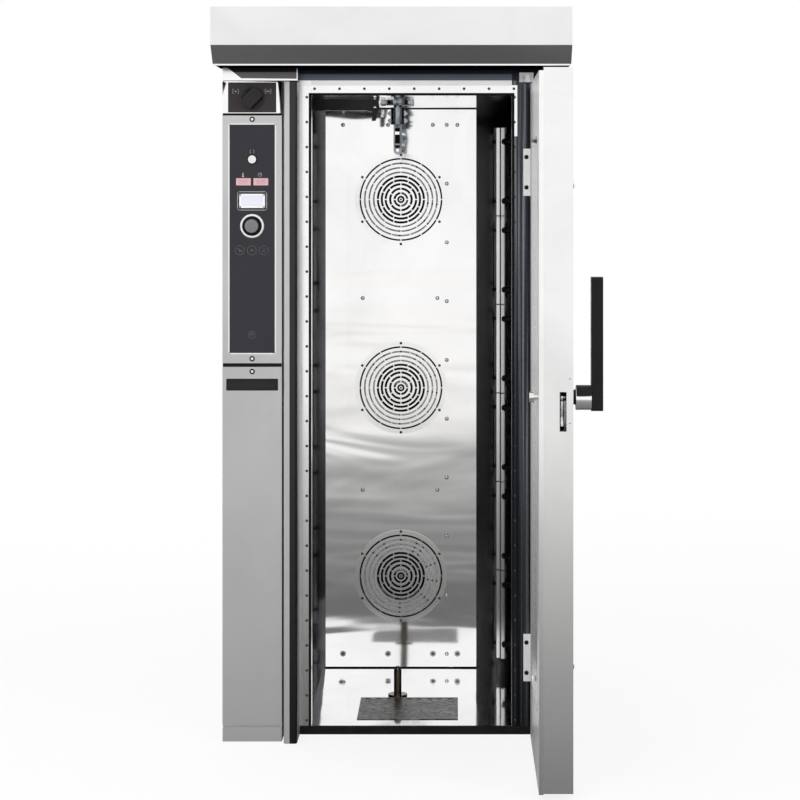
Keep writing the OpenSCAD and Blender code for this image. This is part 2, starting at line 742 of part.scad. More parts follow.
// Lever, bright hub, spindle and latch hook turn as one
module lever_handle() {
  hub_y = outer_y - 50;
  color([0.1, 0.1, 0.1]) on_door() {
    plate(spindle_x - 22, spindle_x + 22, spindle_z - 36, spindle_z + lever_rise, hub_y - lever_t, hub_y, 7);
    // round hub under the cap that joins it to the lever
    bar_y(30, spindle_x, spindle_z - 4, hub_y, outer_y - 9, 96);
    difference() {
      bar_y(36, spindle_x, spindle_z - 4, hub_y, outer_y - 10, 96);
      bar_y(30, spindle_x, spindle_z - 4, hub_y - 1, outer_y - 9, 96);
      block([spindle_x - 40, hub_y - 1, spindle_z - 44], [spindle_x + 40, outer_y, spindle_z + 6]);
    }
    bar_y(20, spindle_x, spindle_z, outer_y - 9, outer_y - 0.5);
    bar_y(10, spindle_x, spindle_z, outer_y - 0.5, hook_y - hook_t / 2);
    // Hook, pointing down inside the door
    translate([spindle_x, hook_y + hook_t / 2, spindle_z]) rotate([90, 0, 0]) linear_extrude(hook_t)
      difference() {
        union() {
          circle(16, $fn = 48);
          translate([-12, -hook_r + 12]) square([24, hook_r - 12]);
          translate([0, -hook_r + 12]) circle(12, $fn = 32);
        }
        translate([-14, -hook_r + 26]) square([12, 12]);
      }
  }
}
// Push knob inside the door, on the spindle's line
module release_knob() {
  color("silver") on_door() union() {
    bar_y(7, spindle_x, spindle_z, hook_y + hook_t / 2 + 14, inner_y + 12);
    bar_y(14, spindle_x, spindle_z, inner_y + 12, inner_y + 24);
  }
}

base_pan();
floor_panel();
threshold();
floor_cover();
pivot_pin();
left_wall();
right_wall();
rear_wall();
rear_strip();
ceiling_panel();
left_duct_panel();
right_duct_panel();
plenum_back();
side_insulation();
rear_insulation();
roof_insulation();
left_side_panel();
right_side_panel();
roof_panel();
rear_cover();
left_jamb();
right_jamb();
door_header();
gasket_retainer();
door_gasket();
column_body();
column_post();
top_fascia();
switch_panel();
control_frame();
control_glass();
display_unit();
lower_panel();
grip_recess();
kick_plate();
main_switch_knob();
start_button();
encoder_ring();
encoder_knob();
canopy_shell();
canopy_band();
hood_grille();
duct_collar();
steam_flue();
rear_fittings();
gearmotor();
shaft_bearing();
stop_arm();
rack_spindle();
fan_guards();
heating_rings();
fan_motors();
fan_wheel_low();
fan_wheel_mid();
fan_wheel_top();
hinge_brackets();
door_shell();
door_glazing();
lever_handle();
release_knob();
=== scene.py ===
"""Looks of a rotating rack oven with its front door standing open.

Metres, in the model's own frame: origin on the rack's axis at floor level, +X right, +Y back, +Z up.
"""

import math

import bmesh
import bpy
from mathutils import Matrix, Vector


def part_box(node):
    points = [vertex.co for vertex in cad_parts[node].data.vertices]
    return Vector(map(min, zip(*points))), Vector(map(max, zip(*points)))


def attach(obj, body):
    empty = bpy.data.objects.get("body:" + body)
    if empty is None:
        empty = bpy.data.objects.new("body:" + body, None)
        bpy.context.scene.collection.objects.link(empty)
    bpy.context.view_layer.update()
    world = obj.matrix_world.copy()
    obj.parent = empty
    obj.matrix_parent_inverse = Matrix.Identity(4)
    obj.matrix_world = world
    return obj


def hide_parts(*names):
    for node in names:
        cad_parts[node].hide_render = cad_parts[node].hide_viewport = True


bl_info = {
    "name": "Rotating Rack Oven",
    "version": (1, 0, 0),
    "blender": (4, 5, 0),
    "location": "3D View > Sidebar > Rack Oven",
    "description": "Dresses the packed rack oven with its finishes, fasteners and printed panel",
    "category": "Object",
}

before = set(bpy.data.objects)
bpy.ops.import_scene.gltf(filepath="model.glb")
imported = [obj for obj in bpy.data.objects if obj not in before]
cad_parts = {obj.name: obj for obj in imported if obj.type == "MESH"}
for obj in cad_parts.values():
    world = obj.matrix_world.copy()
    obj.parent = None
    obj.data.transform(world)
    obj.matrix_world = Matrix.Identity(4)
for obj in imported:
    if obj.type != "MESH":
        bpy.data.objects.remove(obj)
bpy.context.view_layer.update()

MM = 0.001
BROAD_FACE = 1500 * MM * MM
FLAT_BEND = 0.004
PRINT_DEPTH = 0.25 * MM
HALF_ROOT = math.sqrt(0.5)
FRONT = Vector((0, -1, 0))
BACK = Vector((0, 1, 0))
RIGHT = Vector((1, 0, 0))
LEFT = Vector((-1, 0, 0))
UP = Vector((0, 0, 1))

# Places read from the model
GLASS_LOW, GLASS_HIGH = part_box("control_glass")
COLUMN_X = (GLASS_LOW.x + GLASS_HIGH.x) / 2
COLUMN_Y = GLASS_LOW.y
REAR_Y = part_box("rear_wall")[0].y
CEILING_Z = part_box("ceiling_panel")[0].z
FLOOR_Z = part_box("floor_panel")[1].z

# Heights and places that no node's own box gives
FAN_HEIGHTS = (0.333, 0.963, 1.593)
HINGE_HEIGHTS = (0.228, 1.669)
PANEL_SCREW_HEIGHTS = (1.8225, 1.1215, 1.084)
SWITCH_SIGN_Z = 1.9043
START_SIGN_Z = 1.728
DIGITS_Z = 1.6395
SCREEN_Z = 1.5835
KEYS_Z = 1.439
STANDBY_Z = 1.191
STRIP_START = 0.074
STRIP_PITCH = 0.293
HUB = Vector((0.492, -1.156, 1.056))
# Angle and inner radius of the ribs behind each fan guard
RIBS = ((64, 86), (52, 86), (118, 98), (140, 102), (20, 86), (-8, 86), (-42, 90), (-92, 86), (90, 86))


# ---------- settings ----------
def colour(name, description, default):
    """A colour setting."""
    return bpy.props.FloatVectorProperty(
        name=name, description=description, default=default, size=3, subtype="COLOR", min=0, max=1
    )


def length(name, description, default):
    """A setting in metres."""
    return bpy.props.FloatProperty(name=name, description=description, default=default, unit="LENGTH")


def factor(name, description, default):
    """A setting from 0 to 1."""
    return bpy.props.FloatProperty(
        name=name, description=description, default=default, subtype="FACTOR", min=0, max=1
    )


class OvenFinish(bpy.types.PropertyGroup):
    """Colours and gloss of the oven's surfaces"""

    satin: colour("Satin steel", "Outer panels and the control column", (0.80, 0.798, 0.80))
    canopy: colour("Canopy steel", "Front and sides of the canopy", (0.87, 0.868, 0.87))
    polished: colour("Polished steel", "Walls of the cavity, door and door frame", (0.96, 0.96, 0.962))
    # duct steel is darkened below stainless's own colour: painted shade on the cavity's side walls and corner
    # panels
    ducts: colour("Duct steel", "Side walls and corner panels of the cavity", (0.34, 0.34, 0.35))
    lip: colour("Lip", "Sloping lip of the canopy", (0.112, 0.111, 0.110))
    panel: colour("Panel glass", "Glass of the control panel", (0.006, 0.0055, 0.012))
    screen: colour("Screen", "Lit display of the control panel", (0.58, 0.58, 0.66))
    digits: colour("Digit windows", "Two windows over the display", (0.54, 0.33, 0.35))
    satin_roughness: factor("Satin roughness", "Blur of reflections in the outer panels", 0.52)
    polish_roughness: factor("Polish roughness", "Blur of reflections in the cavity", 0.06)


class OvenSizes(bpy.types.PropertyGroup):
    """Sizes of the added small parts"""

    fold: length("Fold radius", "Radius of folded sheet edges", 1.6 * MM)
    screw: length("Screw head", "Radius of the small screw heads", 5.0 * MM)
    retainer_pitch: length("Retainer pitch", "Distance between screws round the doorway", 74 * MM)
    print_line: length("Printed line", "Width of the printed lines on the glass", 1.3 * MM)


class StageSettings(bpy.types.PropertyGroup):
    """Light, floor and camera"""

    lens: bpy.props.FloatProperty(
        name="Lens", description="Focal length on a 36 mm sensor", default=103, unit="CAMERA"
    )
    eye: bpy.props.FloatVectorProperty(
        name="Eye", description="Place of the camera", default=(0.181, -7.230, 1.551), size=3,
        subtype="TRANSLATION",
    )
    far_floor: length("Far floor", "Distance at which metal reflects the floor as white", 18.0)


# ---------- mesh helpers ----------
def upright(at, facing=UP, turn=0.0):
    """Matrix that stands a shape made along +Z at a point, facing a direction and turned about it."""
    stand = Vector(facing).to_track_quat("Z", "Y").to_matrix().to_4x4()
    return Matrix.Translation(at) @ stand @ Matrix.Rotation(turn, 4, "Z")


def only_verts(geom):
    """The vertices among some parts of a mesh."""
    return [part for part in geom if isinstance(part, bmesh.types.BMVert)]


def faces_of(verts):
    """The faces that touch some vertices."""
    return list({face for v in verts for face in v.link_faces})


def edges_of(verts):
    """The edges that touch some vertices."""
    return list({edge for v in verts for edge in v.link_edges})


def round_edges(bm, edges, width, segments=2, **limits):
    """Rounds edges by a width."""
    bmesh.ops.bevel(
        bm, geom=edges, offset=width, segments=segments, profile=0.5, affect="EDGES", material=-1, **limits
    )


def add_block(bm, low, high, rounding):
    """A box between two corners with rounded edges."""
    low, high = Vector(low), Vector(high)
    made = bmesh.ops.create_cube(bm, size=1)["verts"]
    bmesh.ops.scale(bm, vec=high - low, verts=made)
    bmesh.ops.translate(bm, vec=(low + high) / 2, verts=made)
    round_edges(bm, edges_of(made), rounding)


def add_turned(bm, profile, at, facing=FRONT, steps=16):
    """A turned shape: its profile is (radius, height) points from the axis round to the axis."""
    axis = [bm.verts.new((r, 0, h)) for r, h in profile]
    edges = [bm.edges.new(pair) for pair in zip(axis, axis[1:])]
    spun = bmesh.ops.spin(
        bm, geom=axis + edges, cent=(0, 0, 0), axis=(0, 0, 1), angle=math.tau, steps=steps, use_merge=True
    )
    found = set()
    stack = [v for v in axis if v.is_valid] + only_verts(spun["geom_last"])
    while stack:
        v = stack.pop()
        if v.is_valid and v not in found:
            found.add(v)
            stack.extend(e.other_vert(v) for e in v.link_edges)
    bmesh.ops.remove_doubles(bm, verts=list(found), dist=1e-6)
    found = [v for v in found if v.is_valid]
    bmesh.ops.recalc_face_normals(bm, faces=faces_of(found))
    bmesh.ops.transform(bm, matrix=upright(at, facing), verts=found)


def add_screw(bm, at, facing, radius, height=None):
    """A round head with a socket."""
    height = height or radius * 0.55
    profile = [(0, height * 0.3), (radius * 0.36, height * 0.3), (radius * 0.44, height),
               (radius * 0.8, height * 0.86), (radius, height * 0.3), (radius, 0)]
    add_turned(bm, profile, at, facing, 12)


def add_washer(bm, at, inner, outer, height, steps=20):
    """A flat ring with a softened edge, facing the front."""
    profile = [(inner, 0), (outer, 0), (outer, height * 0.6), (outer - height * 0.4, height), (inner, height),
               (inner, 0)]
    add_turned(bm, profile, at, steps=steps)


def add_dot(bm, at, radius):
    """A printed dot, facing the front."""
    add_turned(bm, [(0, 0), (radius, 0), (radius, PRINT_DEPTH), (0, PRINT_DEPTH)], at)


def add_slotted_screw(bm, at, radius, height):
    """A flat head that faces the front, with one straight slot aslant across it."""
    made = bmesh.ops.create_cone(
        bm, cap_ends=True, cap_tris=False, segments=24, radius1=radius, radius2=radius * 0.86, depth=height
    )["verts"]
    for side in (-1, 1):
        cut = bmesh.ops.bisect_plane(
            bm, geom=made + faces_of(made) + edges_of(made), plane_co=(side * radius * 0.16, 0, 0),
            plane_no=RIGHT, dist=1e-7,
        )
        made = list(set(only_verts(cut["geom"])) | set(made))
    slot = [f for f in faces_of(made) if f.normal.z > 0.9 and abs(f.calc_center_median().x) < radius * 0.1]
    moved = only_verts(bmesh.ops.extrude_face_region(bm, geom=slot)["geom"])
    bmesh.ops.delete(bm, geom=slot, context="FACES_ONLY")
    bmesh.ops.translate(bm, vec=(0, 0, -height * 0.5), verts=moved)
    stand = upright(at, FRONT, math.radians(45)) @ Matrix.Translation((0, 0, height / 2))
    bmesh.ops.transform(bm, matrix=stand, verts=list(set(made) | set(moved)))


def add_plate(bm, outline, reach):
    """A flat outline of points, drawn out into a solid."""
    face = bm.faces.new([bm.verts.new(point) for point in outline])
    raised = bmesh.ops.extrude_face_region(bm, geom=[face])["geom"]
    bmesh.ops.translate(bm, vec=reach, verts=only_verts(raised))


def add_stroke(bm, points, width, y, depth=PRINT_DEPTH, lap=1.0):
    """A printed line through points given in (x, z), standing just proud of a face at y."""
    for start, end in zip(points, points[1:]):
        start, end = Vector(start), Vector(end)
        along = end - start
        made = bmesh.ops.create_cube(bm, size=1)["verts"]
        bmesh.ops.scale(bm, vec=(along.length + width * lap, depth, width), verts=made)
        place = Matrix.Translation(((start.x + end.x) / 2, y - depth / 2, (start.y + end.y) / 2))
        angle = math.atan2(along.y, along.x)
        bmesh.ops.transform(bm, matrix=place @ Matrix.Rotation(-angle, 4, "Y"), verts=made)


def ring_points(x, z, radius, start=0.0, stop=360.0, steps=20):
    """Points of an arc in (x, z), angles in degrees from +X towards +Z."""
    turns = [math.radians(start + (stop - start) * i / steps) for i in range(steps + 1)]
    return [(x + radius * math.cos(turn), z + radius * math.sin(turn)) for turn in turns]


def add_frame(bm, x, z, half_width, half_height, corner, width, y):
    """A printed outline with rounded corners round a point in (x, z)."""
    points = []
    for turn, sx, sz in ((0, 1, 1), (90, -1, 1), (180, -1, -1), (270, 1, -1)):
        middle = (x + sx * (half_width - corner), z + sz * (half_height - corner))
        points += ring_points(*middle, corner, turn, turn + 90, 5)
    add_stroke(bm, points + points[:1], width, y, lap=0.25)


def add_digit(bm, x, z, wide, high, width, y):
    """One figure 8 of a lit display."""
    for side in (-1, 1):
        for half in (-1, 1):
            edge = x + side * wide / 2
            add_stroke(bm, [(edge, z + half * high * 0.06), (edge, z + half * high * 0.44)], width, y)
    for level in (-0.5, 0, 0.5):
        add_stroke(bm, [(x - wide * 0.34, z + level * high), (x + wide * 0.34, z + level * high)], width, y)


def shade(bm, smooth):
    """Shades faces smooth up to an angle, and keeps broad flat faces flat right up to their edges."""
    limit = math.radians(smooth)
    areas = {face: face.calc_area() for face in bm.faces}
    for face in bm.faces:
        face.smooth = bool(smooth)
    for edge in bm.edges:
        bend = edge.calc_face_angle(0)
        broad = max((areas[face] for face in edge.link_faces), default=0) > BROAD_FACE
        edge.smooth = bend < limit and not (broad and bend > FLAT_BEND)


# ---------- pieces ----------
def new_object(name, bm):
    """An object of the scene from a finished bmesh."""
    mesh = bpy.data.meshes.new(name)
    bm.to_mesh(mesh)
    bm.free()
    obj = bpy.data.objects.new(name, mesh)
    bpy.context.scene.collection.objects.link(obj)
    return obj


def piece(name, bm, finish, body="cabinet", smooth=35):
    """Turns a bmesh into a shown object that rides on a body; no smooth angle keeps its shading."""
    if smooth is not None:
        shade(bm, smooth)
    obj = new_object(name, bm)
    obj.data.materials.append(look(finish))
    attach(obj, body)
    return obj


def folded(node, name, width, finish, body="cabinet", segments=2, cuts=()):
    """Stands in for a node with the same shape: sharp edges folded round, cut where its finish changes."""
    bm = bmesh.new()
    bm.from_mesh(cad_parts[node].data)
    bmesh.ops.remove_doubles(bm, verts=bm.verts, dist=2e-6)
    bmesh.ops.dissolve_limit(bm, angle_limit=math.radians(0.6), verts=bm.verts, edges=bm.edges)
    if width:
        sharp = [
            e for e in bm.edges
            if len(e.link_faces) == 2 and e.calc_face_angle(0) > math.radians(40) and e.calc_length() > width
        ]
        round_edges(bm, sharp, width, segments, clamp_overlap=True)
    for at, across in cuts:
        parts = bm.verts[:] + bm.edges[:] + bm.faces[:]
        bmesh.ops.bisect_plane(bm, geom=parts, plane_co=at, plane_no=across, dist=1e-7)
    shade(bm, 25)
    bmesh.ops.triangulate(bm, faces=[f for f in bm.faces if len(f.verts) > 4])
    obj = piece(name, bm, finish, body, smooth=None)
    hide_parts(node)
    return obj


def second_finish(obj, finish, chosen):
    """Gives a piece's faces a second finish where their centre passes a test."""
    obj.data.materials.append(look(finish))
    for face in obj.data.polygons:
        if chosen(face.center):
            face.material_index = len(obj.data.materials) - 1


# ---------- shader nodes ----------
def add_node(tree, kind, inputs=None, **settings):
    """A node with its settings, whose inputs are values or other nodes' outputs."""
    node = tree.nodes.new(kind)
    for key, value in settings.items():
        setattr(node, key, value)
    for key, value in (inputs or {}).items():
        if isinstance(value, bpy.types.NodeSocket):
            tree.links.new(value, node.inputs[key])
        else:
            node.inputs[key].default_value = value
    return node


def noise(tree, vector, scale, detail, **more):
    """Fractal noise as a value."""
    inputs = {"Vector": vector, "Scale": scale, "Detail": detail, **more}
    return add_node(tree, "ShaderNodeTexNoise", inputs).outputs["Fac"]


def combined(tree, operation, first, second, **settings):
    """One value made of two with a sum."""
    return add_node(tree, "ShaderNodeMath", {0: first, 1: second}, operation=operation, **settings).outputs[0]


def ranged(tree, value, low, high, start=0.0, stop=1.0):
    """Maps a value's range from low to high onto the range from start to stop."""
    inputs = {"Value": value, "From Min": low, "From Max": high, "To Min": start, "To Max": stop}
    return add_node(tree, "ShaderNodeMapRange", inputs).outputs["Result"]


def object_place(tree):
    """Object coordinates."""
    return tree.nodes.new("ShaderNodeTexCoord").outputs["Object"]


def along_axes(tree, place):
    """The three parts of a vector."""
    return add_node(tree, "ShaderNodeSeparateXYZ", {"Vector": place}).outputs


def stretched(tree, place, scale):
    """Object coordinates scaled along each axis, so that a pattern is drawn out."""
    return add_node(tree, "ShaderNodeMapping", {"Vector": place, "Scale": scale}).outputs["Vector"]


def tinted(tree, first, share, second):
    """A colour that turns to another with a mask; the first may be a pattern."""
    if not isinstance(first, bpy.types.NodeSocket):
        first = (*first, 1)
    node = add_node(tree, "ShaderNodeMix", {"Factor": share, "A": first, "B": (*second, 1)}, data_type="RGBA")
    return node.outputs["Result"]


def colour_ramp(tree, value, stops):
    """Colours along a value from 0 to 1: stops are (place, colour)."""
    ramp = add_node(tree, "ShaderNodeValToRGB", {"Fac": value})
    bands = ramp.color_ramp.elements
    while len(bands) < len(stops):
        bands.new(0.5)
    for band, (at, color) in zip(bands, stops):
        band.position = at
        band.color = (*color, 1)
    return ramp.outputs["Color"]


def bump(tree, shader, height, strength, distance):
    """Raises a shader's surface with a height."""
    node = add_node(tree, "ShaderNodeBump", {"Strength": strength, "Distance": distance, "Height": height})
    tree.links.new(node.outputs["Normal"], shader["Normal"])


def new_group(name, amount, default, outputs):
    """A shader group that takes a vector and one amount, and gives plain values."""
    group = bpy.data.node_groups.new(name, "ShaderNodeTree")
    group.interface.new_socket("Vector", in_out="INPUT", socket_type="NodeSocketVector")
    socket = group.interface.new_socket(amount, in_out="INPUT", socket_type="NodeSocketFloat")
    socket.default_value = default
    for label in outputs:
        group.interface.new_socket(label, in_out="OUTPUT", socket_type="NodeSocketFloat")
    given = group.nodes.new("NodeGroupInput").outputs
    return group, given["Vector"], given[amount], group.nodes.new("NodeGroupOutput").inputs


def grain_group():
    """Fine lines of brushed sheet, drawn out along the vector's own stretch."""
    group, vector, depth, out = new_group("Brushed grain", "Depth", 0.5, ("Shade", "Height"))
    fine = noise(group, vector, 1.0, 4.0)
    both = combined(group, "ADD", fine, noise(group, vector, 0.13, 2.0))
    lean = combined(group, "SUBTRACT", both, 1.0)
    group.links.new(combined(group, "MULTIPLY", lean, depth), out["Shade"])
    group.links.new(fine, out["Height"])
    return group


def handling_group():
    """Faint smears and cloudy patches left by hands and cloths."""
    group, vector, size, out = new_group("Handling marks", "Size", 4.0, ("Mask",))
    cloud = noise(group, vector, size, 6.0, Roughness=0.6, Distortion=0.8)
    group.links.new(ranged(group, cloud, 0.42, 0.72), out["Mask"])
    return group


def ripple_group():
    """Slow waves that thin sheet takes between its fixings."""
    group, vector, size, out = new_group("Sheet ripple", "Size", 3.0, ("Height",))
    group.links.new(noise(group, vector, size, 2.0, Distortion=0.6), out["Height"])
    return group


GROUPS = {"grain": grain_group(), "handling": handling_group(), "ripple": ripple_group()}


def grouped(tree, name, vector, amount):
    """The outputs of a shared group, placed in a material."""
    node = add_node(tree, "ShaderNodeGroup", node_tree=GROUPS[name])
    tree.links.new(vector, node.inputs[0])
    node.inputs[1].default_value = amount
    return node.outputs


# ---------- kinds of finish ----------
def new_finish(name, color, roughness, metallic=0.0, sockets=None):
    """A material, its tree, the inputs of its one Principled shader and its object coordinates."""
    mat = bpy.data.materials.new(name)
    mat.use_nodes = True
    tree = mat.node_tree
    shader = tree.nodes["Principled BSDF"].inputs
    values = {"Base Color": (*color, 1), "Roughness": roughness, "Metallic": metallic, **(sockets or {})}
    for key, value in values.items():
        shader[key].default_value = value
    return mat, tree, shader, object_place(tree)


def steel(name, color, roughness, stretch, grain=0.03, marks=0.05, ripple=0.0, metallic=1.0, bands=None):
    """Stainless sheet with its grain, smears and slow ripples, or coloured in level bands of painted shade.

    Bands are the lowest and highest height, and stops of (height, colour) between them.
    """
    mat, tree, shader, place = new_finish(name, color, roughness, metallic)
    lines = grouped(tree, "grain", stretched(tree, place, stretch), grain)
    smears = grouped(tree, "handling", place, 2.6)["Mask"]
    base = tinted(tree, color, smears, [c * 0.93 for c in color])
    # level bands paint shade into the base colour by height
    if bands:
        low, high, stops = bands
        level = ranged(tree, along_axes(tree, place)["Z"], low, high)
        base = colour_ramp(tree, level, [((at - low) / (high - low), band) for at, band in stops])
    tree.links.new(base, shader["Base Color"])
    blur = ranged(tree, smears, 0, 1, roughness, roughness + marks)
    tree.links.new(combined(tree, "ADD", blur, lines["Shade"], use_clamp=True), shader["Roughness"])
    if ripple:
        waves = grouped(tree, "ripple", stretched(tree, place, (0.5, 1, 2.2)), 2.5)
        bump(tree, shader, waves["Height"], 1.0, ripple)
    else:
        bump(tree, shader, lines["Height"], 0.15, 0.05 * MM)
    return mat


def bowed_steel(name, color, roughness, **given):
    """Mirror-like walls of the cavity, bowed out a little along the left edge and the top."""
    mat = steel(name, color, roughness, **given)
    tree = mat.node_tree
    height = tree.nodes["Bump"].inputs["Height"]
    total = height.links[0].from_socket
    parts = along_axes(tree, object_place(tree))
    for axis, flat, edge in (("X", -0.18, -0.26), ("Z", 1.78, 1.91)):
        total = combined(tree, "ADD", total, ranged(tree, parts[axis], flat, edge))
    tree.links.new(total, height)
    return mat


def streaked_steel(name, color, roughness, **given):
    """Polished frame steel with painted reflections in tall blurred bars of what stands beside it, and
    painted shade at the top.
    """
    mat = steel(name, color, roughness, **given)
    tree = mat.node_tree
    place = object_place(tree)
    # painted reflections: blurred upright bars from near-black to grey
    bars = noise(tree, stretched(tree, place, (80, 30, 0.5)), 1.0, 3.0, Roughness=0.6)
    dark = (0.02, 0.022, 0.03)
    stops = ((0.38, dark), (0.53, (0.06, 0.064, 0.075)), (0.68, (0.34, 0.35, 0.38)))
    streaks = colour_ramp(tree, bars, stops)
    # painted shade: near-black above where the canopy overhangs
    top = ranged(tree, along_axes(tree, place)["Z"], 1.939, 1.943)
    tree.links.new(tinted(tree, streaks, top, dark), tree.nodes["Principled BSDF"].inputs["Base Color"])
    return mat


def brushed(name, color, roughness, stretch, depth, metallic=0.0, raised=False):
    """A coating with fine drawn lines."""
    mat, tree, shader, place = new_finish(name, color, roughness, metallic)
    lines = grouped(tree, "grain", stretched(tree, place, stretch), depth)
    tree.links.new(combined(tree, "ADD", lines["Shade"], roughness), shader["Roughness"])
    if raised:
        bump(tree, shader, lines["Height"], 0.2, 0.05 * MM)
    return mat


def plain(
    name, color, roughness, metallic=0.0, size=0, tint=None, blur=None, stretch=None, grit=None, sockets=None
):
    """A coated, printed, plated or cast surface.

    Handling marks of a size change its colour between two tints or its roughness between two blurs.
    Grit is the scale, detail, strength and height of a grainy surface.
    """
    mat, tree, shader, place = new_finish(name, color, roughness, metallic, sockets)
    if grit:
        scale, detail, strength, height = grit
        bump(tree, shader, noise(tree, place, scale, detail), strength, height * MM)
    if size:
        marks = grouped(tree, "handling", stretched(tree, place, stretch) if stretch else place, size)["Mask"]
        if tint:
            tree.links.new(tinted(tree, tint[0], marks, tint[1]), shader["Base Color"])
        if blur:
            tree.links.new(ranged(tree, marks, 0, 1, *blur), shader["Roughness"])
    return mat


def lit_window(name, color, roughness, dots):
    """A softly lit window with the fine dots of its display."""
    mat, tree, shader, place = new_finish(name, color, roughness)
    cells = add_node(tree, "ShaderNodeTexVoronoi", {"Vector": place, "Scale": dots, "Randomness": 0.0})
    level = ranged(tree, cells.outputs["Distance"], 0, 1, 1.0, 0.82)
    tint = add_node(tree, "ShaderNodeVectorMath", {0: color, "Scale": level}, operation="SCALE").outputs[0]
    tree.links.new(tint, shader["Base Color"])
    tree.links.new(tint, shader["Emission Color"])
    shader["Emission Strength"].default_value = 0.35
    return mat


def crinkled_plate(name, color, roughness):
    """Floor cover of dark sheet, crinkled like foil."""
    mat, tree, shader, place = new_finish(name, color, roughness, 0.85)
    flow = stretched(tree, place, (1.0, 1.6, 1))
    folds = noise(tree, flow, 11.0, 9.0, Roughness=0.68, Distortion=3.0)
    creases = add_node(
        tree, "ShaderNodeTexVoronoi", {"Vector": flow, "Scale": 26.0}, feature="DISTANCE_TO_EDGE"
    )
    edge = ranged(tree, creases.outputs["Distance"], 0, 0.08)
    mask = ranged(tree, folds, 0.47, 0.66)
    tree.links.new(tinted(tree, (0.025, 0.023, 0.02), mask, (0.20, 0.19, 0.18)), shader["Base Color"])
    bump(tree, shader, combined(tree, "MULTIPLY", edge, folds), 1.0, 2.5 * MM)
    return mat


def sheen(level):
    """The socket that sets how much a coating reflects."""
    return {"Specular IOR Level": level}


def painted_canopy_shade(white):
    """Painted shade in level bands on a sheet that the canopy overhangs: its own colour below, then slate,
    navy and black painted shade towards the top.
    """
    # slate, navy and black are painted shade, darker the closer to the canopy
    slate, navy, black = (0.11, 0.125, 0.15), (0.02, 0.025, 0.035), (0.006, 0.006, 0.008)
    stops = (
        (1.9410, white), (1.9425, slate), (1.9590, slate), (1.9625, navy), (1.9700, navy), (1.9735, black)
    )
    return 1.93, 1.985, stops


# Painted shade on the fascia under the canopy: a grey band, then black towards the top
FASCIA_SHADE_GREY, FASCIA_SHADE_BLACK = (0.13, 0.122, 0.127), (0.012, 0.012, 0.016)
FASCIA_SHADE_STOPS = ((1.9455, FASCIA_SHADE_GREY), (1.9590, FASCIA_SHADE_GREY), (1.9620, FASCIA_SHADE_BLACK), (1.9700, FASCIA_SHADE_BLACK))

